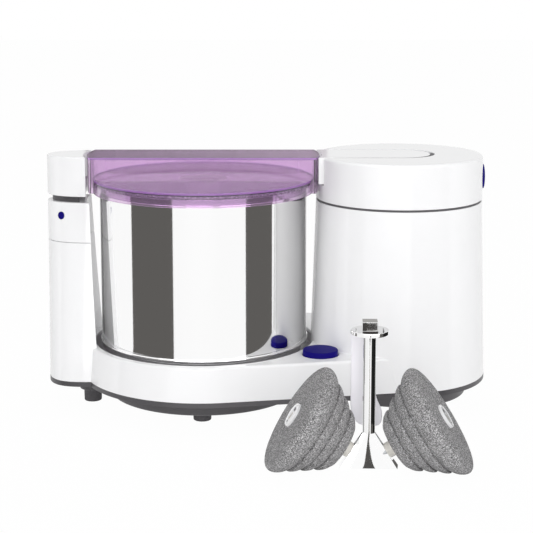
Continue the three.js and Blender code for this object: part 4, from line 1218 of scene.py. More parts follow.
    def gasket(self, maker: Maker) -> None:
        """Ring in the groove between the tower and its cap."""
        radius = self.tower_radius[1] - self.gasket_inset
        outline = softened(
            [
                (radius - self.gasket_width, self.plan.top, 0),
                (radius, self.plan.top, self.gasket_rounding),
                (radius, self.cap_bottom, self.gasket_rounding),
                (radius - self.gasket_width, self.cap_bottom, 0),
            ]
        )
        seal = moved(turned(outline, LARGE_ROUND), at(self.plan.tower_x))
        maker.publish("cap_gasket", seal, FOOT_RUBBER, Body.HOUSING, ["tower_gasket"])

    def cap(self, maker: Maker) -> None:
        """Cap of the tower with the slot for the arm's tail and the release button's hole."""
        radius, low, top = self.tower_radius[1], self.cap_bottom, self.machine_top
        foot, edge = (radius, low, self.cap_foot_rounding), (radius, top, self.cap_rounding)
        outline = softened([(0, low, 0), foot, edge, (0, top, 0)], 6)
        body = moved(turned(outline, LARGE_ROUND), at(self.plan.tower_x))
        over = top + OVERRUN
        slot = self.plan.tail(self.slot_half, self.slot_start, self.tail_centre)
        pocket = self.plan.tail(self.slot_half, self.hinge_x - self.pocket_reach, self.tail_centre)
        spaces = [
            raised(slot, self.slot_floor, over),
            raised(pocket, self.pocket_floor, over),
            self.side_hole(*self.release_hole, 64),
            self.side_hole(*self.rod_hole, 32),
        ]
        body = edged(combined(body, spaces, Operation.CUT), self.cap_edge, least=60)
        maker.publish("tower_top", body, WHITE_ABS, Body.HOUSING, ["tower_cap"])

    def side_hole(self, radius: float, start: float, steps: int) -> BMesh:
        """The cutter of a round hole from the right, at the release button."""
        hole = ring(0, radius, start, self.hole_end, steps)
        return moved(hole, at(0, 0, self.release_z) @ about("Y", 90))

    def lens(self, maker: Maker) -> None:
        """Blue lens of the pilot lamp."""
        bar = self.lens_bar(self.lens_radius, self.lens_root, self.lens_proud, self.lens_dome)
        maker.publish("lamp_lens", bar, NAVY_ABS, Body.HOUSING, ["pilot_lens"])

    def feet(self, maker: Maker) -> None:
        """Five rubber feet with a screw recess."""
        tower_x, tower_y = self.tower_foot
        places = {
            "foot_left": (self.left_foot_x, 0.0),
            "foot_drum_front": (0.0, -self.drum_foot_y),
            "foot_drum_rear": (0.0, self.drum_foot_y),
            "foot_tower_front": (tower_x, -tower_y),
            "foot_tower_rear": (tower_x, tower_y),
        }
        (recess, deep), (low, high), top = self.screw_recess, self.foot_radius, self.tray_bottom
        outline = softened(
            [
                (0, deep, 0), (recess, deep, 0), (recess, 0, self.foot_rounding[0]),
                (low, 0, self.foot_rounding[1]), (high, top, 0), (0, top, 0),
            ]
        )
        for node, (x, y) in places.items():
            foot = moved(turned(outline, self.foot_round), at(x, y))
            maker.publish(f"rubber_{node}", foot, FOOT_RUBBER, Body.HOUSING, [node])

    def gland(self, maker: Maker) -> None:
        """Rubber gland for the cord, with ribs along its sleeve."""
        face, end, bore, radius = self.gland_face, self.gland_end, self.gland_bore, self.gland_radius
        wide, chamfer = self.flange_radius, self.flange_chamfer
        back = face + self.flange_thickness
        outline: list[Point] = [(bore, face - self.gland_root), (radius, face - self.gland_root)]
        outline += [(radius, face), (wide - chamfer, face), (wide, face + chamfer)]
        outline += [(wide, back - chamfer), (wide - chamfer, back), (radius, back + 0.2)]
        for i in range(self.rib_count):
            start, rib = back + self.rib_start + i * self.rib_pitch, radius - self.rib_taper * i
            outline += [(rib + out, start + on) for out, on in self.rib_profile]
        wall, rim = self.gland_tip
        outline += [(bore + wall, end - chamfer), (bore + rim, end), (bore, end)]
        turn = at(self.plan.tower_x, 0, self.gland_z) @ about("X", -90)
        sleeve = moved(turned(outline, self.foot_round), turn)
        maker.publish("cord_sleeve", sleeve, FOOT_RUBBER, Body.HOUSING, ["cord_gland"])


@dataclass
class Buttons:
    """The power button on the platform with its spring, and the release button in the cap."""

    power: Point = (106.0, -63.0)
    power_radius: float = 15.8
    power_top: float = 66.1
    power_under: float = 55.6
    power_stem: Point = (4.0, 52.6)
    power_rounding: float = 1.4
    power_crown: float = 0.3
    power_travel: float = 2.0
    spring_radius: float = 8.0
    spring_wire: float = 0.8
    spring_foot: float = 41.0
    spring_top: float = 55.5
    spring_turns: int = 4
    spring_turn_steps: int = 24
    wire_sides: int = 12
    release_z: float = 213.0
    release_face: float = 257.1
    release_depth: float = 6.0
    release_radius: float = 11.5
    release_rounding: float = 0.9
    release_crown: float = 0.6
    release_rod: Point = (4.0, 220.1)

    def build(self, maker: Maker) -> None:
        """Makes both buttons and the spring under one of them."""
        self.power_spring(maker)
        self.power_knob(maker)
        self.release_knob(maker)

    def power_knob(self, maker: Maker) -> None:
        """Round power button with a stem for its switch."""
        radius, top, under = self.power_radius, self.power_top, self.power_under
        stem, tip = self.power_stem
        outline = softened(
            [
                (0, tip, 0), (stem, tip, 0), (stem, under, 0), (radius, under, 0),
                (radius, top, self.power_rounding), (0, top + self.power_crown, 0),
            ],
            5,
        )
        knob = moved(turned(outline, 96), at(*self.power))
        maker.publish("power_knob", knob, NAVY_ABS, Body.POWER, ["power_button"])

    def release_knob(self, maker: Maker) -> None:
        """Round release button with a rod that runs into the cap."""
        face, radius = self.release_face, self.release_radius
        rod, tip = self.release_rod
        back = face - self.release_depth
        outline = softened(
            [
                (0, tip, 0), (rod, tip, 0.5), (rod, back, 0), (radius, back, 0),
                (radius, face, self.release_rounding), (0, face + self.release_crown, 0),
            ],
            5,
        )
        knob = moved(turned(outline, 80), at(0, 0, self.release_z) @ about("Y", 90))
        maker.publish("release_knob", knob, NAVY_ABS, Body.RELEASE, ["release_button"])

    def power_spring(self, maker: Maker) -> None:
        """Coil spring under the power button, with its own copy of its mesh."""
        length = self.spring_top - self.spring_foot
        steps = self.spring_turn_steps * self.spring_turns
        start = at(self.spring_radius, 0, self.spring_foot + self.spring_wire) @ about("X", 90)
        shape = bmesh.new()
        bmesh.ops.create_circle(
            shape, segments=self.wire_sides, radius=self.spring_wire, cap_ends=False, matrix=start
        )
        bmesh.ops.spin(
            shape,
            geom=[*shape.verts, *shape.edges],
            cent=(0, 0, 0),
            axis=(0, 0, 1),
            dvec=(0, 0, (length - 2 * self.spring_wire) / steps),
            angle=FULL_TURN * self.spring_turns,
            steps=steps,
            use_merge=False,
        )
        bmesh.ops.holes_fill(shape, edges=[edge for edge in shape.edges if edge.is_boundary], sides=0)
        shape = moved(tidied(shape), at(*self.power))
        spring = maker.publish(
            "button_spring", shape, MACHINED_STEEL, Body.HOUSING, ["power_button_spring"]
        )
        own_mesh(spring)


@dataclass
class Arm:
    """White end blocks, see-through bridge and lid, and the socket below the lid."""

    plan: Plan
    top: float = 233.8
    underside: float = 209.5
    end_bottom: float = 197.4
    end_levels: Point = (210.0, 222.0)
    end_edge: float = 1.2
    space: float = 108.4
    half: float = 29.0
    tail_centre: float = 182.2
    tail_gap: float = 1.6
    tail_edge: float = 0.9
    hinge: Point = (183.7, 229.0)
    hinge_hole: float = 2.3
    hinge_reach: float = 40.0
    tab_reach: Point = (106.8, 110.4)
    tab_half: float = 9.0
    tab_height: float = 8.0
    tab_edge: float = 0.3
    left_tab_bottom: float = 203.5
    # The dark strip in the front gap at the tail: painted shade.
    gap_shade_start: float = 118.0
    gap_shade_end: float = 0.12
    gap_shade_play: float = 0.05
    gap_shade_depth: float = 3.0
    gap_shade_sunk: float = 0.12
    gap_shade_edge: float = 0.1
    bridge_half: float = 28.2
    bridge_radius: float = 106.4
    bridge_bottom: float = 201.0
    sheet: float = 2.2
    plate_edge: float = 0.5
    wall_inset: float = 0.6
    bead_x: float = 86.6
    bead_half: Point = (0.3, 1.6)
    rim_space: Point = (99.4, 1.3)
    lid_play: float = 0.3
    cap_space: float = 77.4
    skin: float = 0.15
    lid_radius: float = 101.3
    lid_top: float = 211.8
    lid_sheet: float = 2.0
    rim_height: float = 1.0
    rim_width: float = 1.6
    rim_band: float = 0.7
    skirt_wall: float = 2.2
    skirt_bottom: float = 200.0
    skirt_foot: float = 202.4
    boss: Point = (14.0, 18.0)
    flange: Point = (22.0, 2.5)
    socket_half: float = 6.6
    socket_depths: Point = (20.0, 5.0)

    def build(self, maker: Maker) -> None:
        """Makes the arm's pieces."""
        self.gap_shade(maker)
        self.tail(maker)
        self.left_end(maker)
        self.bridge(maker)
        self.lid(maker)
        self.socket(maker)

    def tab(self, side: int, bottom: float) -> BMesh:
        """The tab of an end block that holds the bridge, at the right for 1 and the left for -1."""
        near, far = sorted(side * reach for reach in self.tab_reach)
        low, high = (near, -self.tab_half, bottom), (far, self.tab_half, bottom + self.tab_height)
        return edged(block(low, high), self.tab_edge)

    def tail(self, maker: Maker) -> None:
        """White block at the right with its round tail."""
        reach = math.asin(self.half / self.space)
        inner = arc((0, 0), self.space, reach, -reach, 24)
        centre, half = (self.tail_centre - self.tail_gap, 0), self.half - self.tail_gap
        outline = [*inner, *arc(centre, half, -math.pi / 2, math.pi / 2, 48)]
        body = edged(raised(outline, self.underside, self.top), self.tail_edge, 3, 50)
        turn = at(self.hinge[0], 0, self.hinge[1]) @ about("X", -90)
        hole = moved(ring(0, self.hinge_hole, -self.hinge_reach, self.hinge_reach, 24), turn)
        body = gathered([combined(body, [hole], Operation.CUT), self.tab(1, self.underside)])
        maker.publish("arm_right_block", body, WHITE_ABS, Body.ARM, ["arm_tail"])

    def gap_shade(self, maker: Maker) -> None:
        """Dark strip in the gap between the tail and the cap at the front: painted shade of the gap."""
        near = self.half - self.tail_gap + self.gap_shade_play
        inner = arc((self.tail_centre - self.tail_gap, 0), near, -math.pi / 2, self.gap_shade_end, 32)
        outer = arc((self.tail_centre, 0), self.half, self.gap_shade_end, -math.pi / 2, 32)
        outline = [(self.gap_shade_start, -near), *inner, *outer, (self.gap_shade_start, -self.half)]
        body = raised(outline, self.top - self.gap_shade_depth, self.top - self.gap_shade_sunk)
        maker.publish("tail_gap_painted_shade", edged(body, self.gap_shade_edge, 1, 60), FOOT_RUBBER, Body.ARM, [])

    def left_end(self, maker: Maker) -> None:
        """White block at the left, over the neck."""
        heights = (self.end_bottom, *self.end_levels, self.top)
        body = edged(lofted([self.plan.column(z, 0, self.space) for z in heights]), self.end_edge, 4, 50)
        body = gathered([body, self.tab(-1, self.left_tab_bottom)])
        maker.publish("arm_left_block", body, WHITE_ABS, Body.ARM, ["arm_left_end"])

    def bridge(self, maker: Maker) -> None:
        """See-through bridge: top sheet, side walls, end skirts and four small beads on the walls, with
        painted shade on the top skin and painted light on the faces just below it.
        """
        thick, under, middle = self.sheet, self.top - self.sheet, self.top - self.sheet / 2
        half, radius = self.bridge_half - self.wall_inset, self.bridge_radius - self.wall_inset
        plate = raised(self.plan.strip(self.bridge_half, self.bridge_radius), under, self.top)
        low = self.bridge_bottom - OVERRUN
        walls = raised(self.plan.strip(half, radius), self.bridge_bottom, middle)
        hollow = raised(self.plan.strip(half - thick, radius - thick), low, under)
        walls = combined(walls, [hollow], Operation.CUT)
        thin, wide = self.bead_half
        beads = []
        for x in (-self.bead_x, self.bead_x):
            for y in (thick / 2 - half, half - thick / 2):
                beads.append(block((x - thin, y - wide, self.lid_top), (x + thin, y + wide, middle)))
        body = combined(edged(plate, self.plate_edge), [walls, *beads], Operation.JOIN)
        reach = self.lid_radius + self.lid_play
        inside, rise = self.rim_space
        spaces = [
            ring(0, reach, low, self.lid_top, LARGE_ROUND),
            ring(inside, reach, low, self.lid_top + rise, LARGE_ROUND),
            moved(ring(0, self.cap_space, low, self.underside, LARGE_ROUND), at(self.plan.tower_x)),
        ]
        body = combined(body, spaces, Operation.CUT)
        skin, edge = self.top - self.skin, self.top - 0.6 * thick
        parts = [
            (LILAC_PAINTED_SHADE_TOP, lambda face: face.normal.z > 0.9 and face.calc_center_median().z > skin),
            (LILAC_PAINTED_LIGHT_EDGE, lambda face: face.calc_center_median().z > edge),
        ]
        maker.publish("lid_bridge", body, LILAC_STYRENE, Body.ARM, ["bridge_cover"], parts=parts)

    def lid(self, maker: Maker) -> None:
        """See-through lid: disc, raised rim and skirt, with painted light on the rim and on the disc behind
        the bridge, and painted shade on the disc in front of the bridge and on the skirt.
        """
        radius, top, low = self.lid_radius, self.lid_top, self.skirt_bottom
        rim = top + self.rim_height
        outline = softened(
            [
                (0, top - self.lid_sheet, 0), (radius - self.skirt_wall, top - self.lid_sheet, 1.0),
                (radius - self.skirt_wall, low, 0.4), (radius, low, 0.6), (radius, rim, 0.7),
                (radius - self.rim_width, rim, 0.4), (radius - self.rim_width, top, 0.3), (0, top, 0),
            ],
            3,
        )
        body = turned(outline, LARGE_ROUND)
        front, band, foot = -self.bridge_half, top - self.rim_band, self.skirt_foot
        planes = (((0, front, 0), (0, 1, 0)), ((0, 0, band), (0, 0, 1)), ((0, 0, foot), (0, 0, 1)))
        for spot, normal in planes:
            every = [*body.verts, *body.edges, *body.faces]
            bmesh.ops.bisect_plane(body, geom=every, plane_co=spot, plane_no=normal)

        def is_front(face: BMFace) -> bool:
            """Tells the top in front of the bridge, which gets painted shade."""
            centre = face.calc_center_median()
            return face.normal.z > 0.99 and centre.z > top - 0.1 and centre.y < front

        def is_rim(face: BMFace) -> bool:
            """Tells the raised rim and the band under it, which get painted light."""
            centre = face.calc_center_median()
            return centre.z > top + 0.05 or (centre.z > band and centre.xy.length > radius - 1)

        def is_skirt(face: BMFace) -> bool:
            """Tells the outside of the skirt, but for its foot, which gets painted shade."""
            centre = face.calc_center_median()
            return centre.xy.length > radius - 1 and centre.z > foot

        def is_rear(face: BMFace) -> bool:
            """Tells the disc's skin under and behind the bridge, which gets painted light."""
            return abs(face.normal.z) > 0.99 and face.calc_center_median().y > front

        parts = [
            (LILAC_PAINTED_LIGHT_EDGE, is_rim),
            (LILAC_PAINTED_SHADE_FRONT, is_front),
            (LILAC_PAINTED_SHADE_SKIRT, is_skirt),
            (LILAC_PAINTED_LIGHT_REAR, is_rear),
        ]
        maker.publish("drum_lid", body, LILAC_STYRENE, Body.ARM, ["lid_disc"], parts=parts)

    def socket(self, maker: Maker) -> None:
        """Boss under the lid with a square socket."""
        under = self.lid_top - self.lid_sheet
        (radius, length), (wide, thick) = self.boss, self.flange
        outline = softened(
            [
                (0, under - length, 0), (radius, under - length, 0.8), (radius, under - thick, 1.2),
                (wide, under - thick, 0.6), (wide, under, 0), (0, under, 0),
            ]
        )
        half, (deep, roof) = self.socket_half, self.socket_depths
        hole = block((-half, -half, under - deep), (half, half, under - roof))
        body = combined(turned(outline, 72), [hole], Operation.CUT)
        maker.publish("stem_socket", body, CREAM_NYLON, Body.ARM, ["shaft_socket"])


@dataclass
class Drum:
    """Polished drum, its granite floor and the guide pin."""

    radius: float = 95.0
    bore: float = 6.3
    sheet: float = 1.2
    bottom: float = 54.0
    top: float = 206.6
    corner: float = 7.0
    rim_rounding: float = 0.5
    bead_z: float = 61.8
    bead: Point = (1.2, 3.0)
    bead_rounding: float = 0.6
    floor_gap: float = 1.0
    floor_thickness: float = 18.0
    floor_rounding: Point = (1.2, 0.4)
    pin_radius: float = 7.0
    pin_height: float = 8.0
    pin_dome: float = 5.0
    pin_dome_steps: int = 8
    pin_base: Point = (14.0, 3.0)
    pin_chamfer: float = 0.6

    def build(self, maker: Maker) -> None:
        """Makes the drum's pieces."""
        self.shell(maker)
        self.floor(maker)
        self.pin(maker)

    def shell(self, maker: Maker) -> None:
        """Thin steel wall with a rolled corner, a bead near the bottom and a rounded rim."""
        outer, inner = self.radius, self.radius - self.sheet
        low = self.bottom + self.sheet
        proud, tall = self.bead
        shares = ((0, 0), (proud, 1 / 3), (proud, 2 / 3), (0, 1))
        bead = [(outer + far, self.bead_z + tall * share, self.bead_rounding) for far, share in shares]
        outline = softened(
            [
                (self.bore, self.bottom, 0), (outer, self.bottom, self.corner), *bead,
                (outer, self.top, self.rim_rounding), (inner, self.top, self.rim_rounding),
                (inner, low, self.corner - self.sheet), (self.bore, low, 0),
            ],
            6,
        )
        maker.publish("steel_drum", turned(outline, 224), MIRROR_STEEL, Body.DRUM, ["drum_shell"])

    def floor(self, maker: Maker) -> None:
        """Granite disc in the drum."""
        low = self.bottom + self.sheet
        top = low + self.floor_thickness
        reach = self.radius - self.sheet - self.floor_gap
        outer, inner = self.floor_rounding
        outline = softened(
            [(self.bore, low, 0), (reach, low, self.corner), (reach, top, outer), (self.bore, top, inner)]
        )
        maker.publish("drum_granite", turned(outline, 128), GRANITE, Body.DRUM, ["stone_floor"])

    def pin(self, maker: Maker) -> None:
        """Domed pin on the drum's floor."""
        base = self.bottom + self.sheet + self.floor_thickness
        radius, chamfer, (wide, tall) = self.pin_radius, self.pin_chamfer, self.pin_base
        turns = [math.pi / 2 * k / self.pin_dome_steps for k in range(self.pin_dome_steps + 1)]
        dome = [(radius * math.cos(t), base + self.pin_height + self.pin_dome * math.sin(t)) for t in turns]
        outline: list[Point] = [(0, base), (wide - chamfer, base), (wide, base + chamfer)]
        outline += [(wide, base + tall - chamfer), (wide - chamfer, base + tall)]
        outline += [(radius + chamfer, base + tall), (radius, base + tall + chamfer), *dome]
        maker.publish("stone_guide", turned(outline, 64), MACHINED_STEEL, Body.DRUM, ["guide_pin"])


@dataclass
class StoneAssembly:
    """Steel stem with its foot, disc and head, wiper blade, axles and two stones."""

    stem_half: float = 5.05
    stem_edge: float = 0.15
    facet: float = 1.3
    foot_top: float = 29.8
    foot_bottom: float = 0.8
    foot_side_half: float = 5.4
    foot_front: Point = (6.4, 4.4)
    disc_radius: float = 15.5
    disc: Point = (112.4, 115.8)
    head_half: float = 6.1
    head_top: float = 123.2
    head_rounding: float = 0.4
    head_edge: float = 0.3
    blade_gap: float = 0.3
    blade_thickness: float = 2.5
    blade_edge: float = 0.7
    blade_rounding: float = 1.0
    blade_foot: tuple[Corner, ...] = (
        (-15.0, 46.5, 6.0),
        (-9.0, 34.0, 5.0),
        (9.8, 33.0, 5.0),
        (11.6, 45.0, 6.0),
        (5.3, 58.5, 5.0),
    )
    tilt: float = 33.22
    sweep: float = 4.6
    bore: float = 4.3
    bush_radius: float = 6.5
    bush_ends: Point = (0.3, 6.3)
    axle_radius: float = 3.9
    axle_root: float = -6.0
    axle_sunk: float = 3.2
    retainer_radius: float = 8.2
    retainer_thickness: float = 2.4
    retainer_sunk: float = 0.25
    # The retainer's openings, each filled flush with a piece of painted shade.
    retainer_openings: tuple[Corner, ...] = ((-6.4, -3.2, 3.2), (-1.9, 4.8, 2.4), (5.8, 7.4, 2.0))
    fill_play: float = 0.1
    small_radius: float = 22.9
    large_radius: float = 52.3
    stone_start: float = 8.6
    stone_length: float = 44.9
    stone_bore: float = 9.3
    stone_seat: Point = (10.7, 3.3)
    dome: float = 4.1
    dome_gain: float = 1.1
    dish: float = 2.3
    face_steps: int = 6
    rounding: float = 12.0
    rounding_steps: int = 12
    roughness: Point = (0.1, 1.2)
    layers: int = 4
    layer_height: float = 9.7
    crease: float = 2.7
    layer_rise: tuple[Point, ...] = ((0.0, 1.0), (0.5, 0.97), (1.1, 0.72), (2.2, 0.4), (4.0, 0.1), (6.0, 0.0))
    layer_fall: tuple[Point, ...] = ((7.6, 0.04), (8.6, 0.16), (9.2, 0.45))
    hub_radius: float = 9.0
    hub_start: float = 6.6
    hub_rim: Point = (8.5, 10.4)
    hub_pocket: float = 3.0
    notch_place: float = 10.2
    notch_half: Point = (1.6, 1.9)
    notch_depth: float = 1.8

    def build(self, maker: Maker) -> None:
        """Makes the loose assembly."""
        place = maker.assembly_place()
        self.stem(maker, place)
        self.top(maker, place)
        self.blade(maker, place)
        for word, side, body in (("left", -1, Body.STONE_LEFT), ("right", 1, Body.STONE_RIGHT)):
            along = place @ self.axle_place(side)
            self.bush(maker, along, word)
            self.axle(maker, along, word)
            self.retainer(maker, along, word)
            self.stone(maker, along, word, body)
            self.hub(maker, along, word, body)

    def slope(self) -> float:
        """How fast the foot spreads, per millimetre down."""
        return math.tan(math.radians(self.tilt))

    def side_reach(self, z: float) -> float:
        """Reach of the foot's side faces at a height."""
        return self.stem_half + (self.foot_top - z) * self.slope()

    def axle_place(self, side: int) -> Matrix:
        """The move from an axle drawn upwards to its place on the foot.

        Args:
            side: -1 for the left axle, 1 for the right one.

        Returns:
            The matrix in the assembly's drawing.
        """
        tilt = math.radians(self.tilt)
        height = self.small_radius * math.cos(tilt) - self.stone_start * math.sin(tilt)
        azimuth = -self.sweep if side > 0 else 180 + self.sweep
        reach, angle = self.side_reach(height), math.radians(azimuth)
        return (
            at(reach * math.cos(angle), reach * math.sin(angle), height)
            @ about("Z", azimuth)
            @ about("Y", 90 - self.tilt)
        )

    def stem_ring(self, z: float, side: Point, front: Point) -> list[Vector]:
        """A ring of the stem: a flat on each of four sides with two slanting faces between.

        Args:
            z: Its height.
            side: Reach and half width of the side flats.
            front: Reach and half width of the front and back flats.

        Returns:
            The ring's corners.
        """
        flats = [
            (-self.sweep, *side),
            (90, *front),
            (180 + self.sweep, *side),
            (270, *front),
        ]
        ends: list[Vector] = []
        for degrees, far, wide in flats:
            c, s = math.cos(math.radians(degrees)), math.sin(math.radians(degrees))
            ends += [Vector((far * c - w * s, far * s + w * c, z)) for w in (-wide, wide)]
        full: list[Vector] = []
        for i in range(0, len(ends), 2):
            full += [ends[i], ends[i + 1], (ends[i + 1] + ends[(i + 2) % len(ends)]) / 2]
        return full

    def stem(self, maker: Maker, place: Matrix) -> None:
        """Faceted stem that spreads to a pyramid foot."""
        foot_side = (self.side_reach(self.foot_bottom), self.foot_side_half)
        rings = [self.stem_ring(self.foot_bottom, foot_side, self.foot_front)]
        flat = (self.stem_half, self.facet)
        rings += [self.stem_ring(z, flat, flat) for z in (self.foot_top, self.disc[0])]
        body = edged(lofted(rings), self.stem_edge, 1, 8)
        maker.publish("steel_stem", body, MIRROR_STEEL, Body.CARRIER, ["carrier_stem"], place, crease=30)

    def top(self, maker: Maker, place: Matrix) -> None:
        """Disc and square head on top of the stem."""
        radius, (low, high) = self.disc_radius, self.disc
        outline = softened([(0, low, 0), (radius, low, 0.6), (radius, high, 0.9), (0, high, 0)])
        disc = turned(outline, 96)
        maker.publish("stem_disc", disc, MIRROR_STEEL, Body.CARRIER, ["carrier_disc"], place)
        half, reach = self.head_half, self.head_rounding
        square = softened([(half * x, half * y, reach) for x, y in ((1, -1), (1, 1), (-1, 1), (-1, -1))], 3)
        head = edged(raised(square, high, self.head_top), self.head_edge, least=60)
        maker.publish("square_head", head, MIRROR_STEEL, Body.CARRIER, ["drive_head"], place)

    def blade(self, maker: Maker, place: Matrix) -> None:
        """White blade behind the stem, with a fin at its lower right."""
        top, back = self.disc[0] - self.blade_gap, self.stem_half + self.blade_gap
        left, right = ((self.blade_foot[i][0], top, self.blade_rounding) for i in (0, -1))
        outline = softened([left, *self.blade_foot, right], 6)
        body = edged(raised(outline, back, back + self.blade_thickness), self.blade_edge, 3, 60)
        moved(body, about("X", 90) @ Matrix.Scale(-1, 4, (0, 0, 1)))
        maker.publish("batter_blade", body, LILAC_NYLON, Body.CARRIER, ["wiper_blade"], place)

    def bush(self, maker: Maker, along: Matrix, word: str) -> None:
        """Nylon bush between the foot and a stone."""
        bore, radius, (low, high) = self.bore, self.bush_radius, self.bush_ends
        outline = softened([(bore, low, 0.3), (radius, low, 0.6), (radius, high, 0.6), (bore, high, 0.3)], 3)
        bush, nodes = turned(outline, 48), [f"inner_bush_{word}"]
        maker.publish(f"nylon_bush_{word}", bush, CREAM_NYLON, Body.CARRIER, nodes, along)

    def axle(self, maker: Maker, along: Matrix, word: str) -> None:
        """Steel axle from the foot to the retainer."""
        radius, low, high = self.axle_radius, self.axle_root, self.dome_top() - self.axle_sunk
        pin = turned(softened([(0, low, 0), (radius, low, 0.5), (radius, high, 0.5), (0, high, 0)]), 48)
        maker.publish(f"axle_pin_{word}", pin, MACHINED_STEEL, Body.CARRIER, [f"axle_{word}"], along)

    def retainer(self, maker: Maker, along: Matrix, word: str) -> None:
        """Retainer on an axle's end, with three openings filled flush by painted shade: dark in the two
        holes, beige in the slot between them.
        """
        radius, top = self.retainer_radius, self.dome_top() - self.retainer_sunk
        low = top - self.retainer_thickness
        outline = softened([(0, low, 0), (radius, low, 0.3), (radius, top, 0.4), (0, top, 0)], 3)
        cuts, shade_fills, play = [], [], self.fill_play
        for left, right, half in self.retainer_openings:
            cuts.append(block((left, -half, low - OVERRUN), (right, half, top + OVERRUN)))
            shade_fill = block((left + play, play - half, low), (right - play, half - play, top - play))
            shade_fills.append(edged(shade_fill, play, 1, 60))
        body, nodes = combined(turned(outline, 64), cuts, Operation.CUT), [f"axle_retainer_{word}"]
        maker.publish(f"end_retainer_{word}", body, WHITE_ABS, Body.CARRIER, nodes, along)
        # Beige painted shade in the long slot, dark painted shade in the two holes.
        slot_shade = shade_fills.pop(1)
        maker.publish(f"slot_painted_shade_{word}", slot_shade, BEIGE_PAINTED_SHADE, Body.CARRIER, [], along)
        maker.publish(f"hole_painted_shade_{word}", gathered(shade_fills), FOOT_RUBBER, Body.CARRIER, [], along)

    def dome_top(self) -> float:
        """Distance of a stone's outermost face along its axle."""
        return self.stone_start + self.stone_length + self.dome

    def stone(self, maker: Maker, along: Matrix, word: str, body: Body) -> None:
        """Stepped granite cone with a rounded edge and a slightly domed face."""
        end = self.stone_start + self.stone_length
        slope = (self.large_radius - self.small_radius) / self.stone_length
        edge_start = end - self.rounding * math.cos(math.radians(self.tilt))
        outline: list[Point] = [(self.stone_bore, self.stone_start)]
        for i in range(self.layers):
            start = self.stone_start + i * self.layer_height
            flank = self.small_radius + (start - self.stone_start) * slope
            drops = list(self.layer_rise)
            if i < self.layers - 1:
                drops += self.layer_fall
            elif start + drops[-1][0] > edge_start:
                drops = drops[:-1]
            outline += [(flank + reach * slope - self.crease * drop, start + reach) for reach, drop in drops]
        face, half_dome = self.large_radius - self.rounding, self.dome / 2
        first = Vector((self.small_radius + (edge_start - self.stone_start) * slope, edge_start))
        middle, last = Vector((self.large_radius, end)), Vector((face, end + half_dome))
        for k in range(self.rounding_steps + 1):
            t = k / self.rounding_steps
            spot = first * (1 - t) ** 2 + middle * (2 * t * (1 - t)) + last * t**2
            outline.append((spot.x, spot.y))
        seat, seat_depth = self.stone_seat
        for k in range(1, self.face_steps + 1):
            part = k / self.face_steps
            radius = face + (seat - face) * part
            rise = half_dome * (1 - (radius / face) ** 2) * self.dome_gain
            outline.append((radius, end + half_dome + rise - self.dish * part**2))
        bottom = self.dome_top() - seat_depth
        outline += [(seat, bottom), (self.stone_bore, bottom)]
        shape = roughened(turned(outline, LARGE_ROUND), *self.roughness)
        nodes = [f"grinding_stone_{word}"]
        maker.publish(f"granite_roller_{word}", shape, GRANITE, body, nodes, along, crease=60)

    def hub(self, maker: Maker, along: Matrix, word: str, body: Body) -> None:
        """White hub through a stone, with a notched rim and a pocket at the outer face."""
        start, top = self.hub_start, self.dome_top()
        pocket, (inside, outside) = top - self.hub_pocket, self.hub_rim
        outline = softened(
            [
                (self.bore, start, 0), (self.hub_radius, start, 0.5), (self.hub_radius, pocket, 0),
                (outside, pocket, 0), (outside, top, 0.7), (inside, top, 0.3), (inside, pocket, 0.3),
                (self.bore, pocket, 0),
            ],
            3,
        )
        deep, wide = self.notch_half
        notches = []
        for x in (-self.notch_place, self.notch_place):
            low, high = (x - deep, -wide, top - self.notch_depth), (x + deep, wide, top + OVERRUN)
            notches.append(block(low, high))
        rim = combined(turned(outline, 72), notches, Operation.CUT)
        maker.publish(f"roller_hub_{word}", rim, WHITE_ABS, body, [f"stone_hub_{word}"], along)


@dataclass
class InnerParts:
    """Finishes of the frame's own nodes that stay as they are, most of them inside the machine."""

    finishes: dict[str, Finish] = field(
        default_factory=lambda: {
            "switch_body": GRAPHITE_ABS,
            "hinge_pin": MACHINED_STEEL,
            "bearing_housing": MACHINED_STEEL,
            "lower_bearing": MACHINED_STEEL,
            "upper_bearing": MACHINED_STEEL,
            "drive_belt": BELT_RUBBER,
            "motor_plate": MACHINED_STEEL,
            "lower_motor_bracket": MACHINED_STEEL,
            "motor_stator": COPPER_CORE,
            "upper_motor_bracket": MACHINED_STEEL,
            "run_capacitor": WHITE_ABS,
            "drum_hub": GRAPHITE_ABS,
            "driven_pulley": GRAPHITE_ABS,
            "drum_spindle": MACHINED_STEEL,
            "motor_rotor": MACHINED_STEEL,
            "cooling_fan": GRAPHITE_ABS,
            "motor_pulley": MACHINED_STEEL,
            "lid_seal": CLEAR_SILICONE,
            "latch_hook": GRAPHITE_ABS,
        }
    )

    def dress(self, nodes: dict[str, Object]) -> None:
        """Gives each of these nodes its finish."""
        for name, finish in self.finishes.items():
            for place in nodes[name].material_slots:
                place.material = finish.material()
            LOG.info("%s: kept, finish %s", name, finish.name)


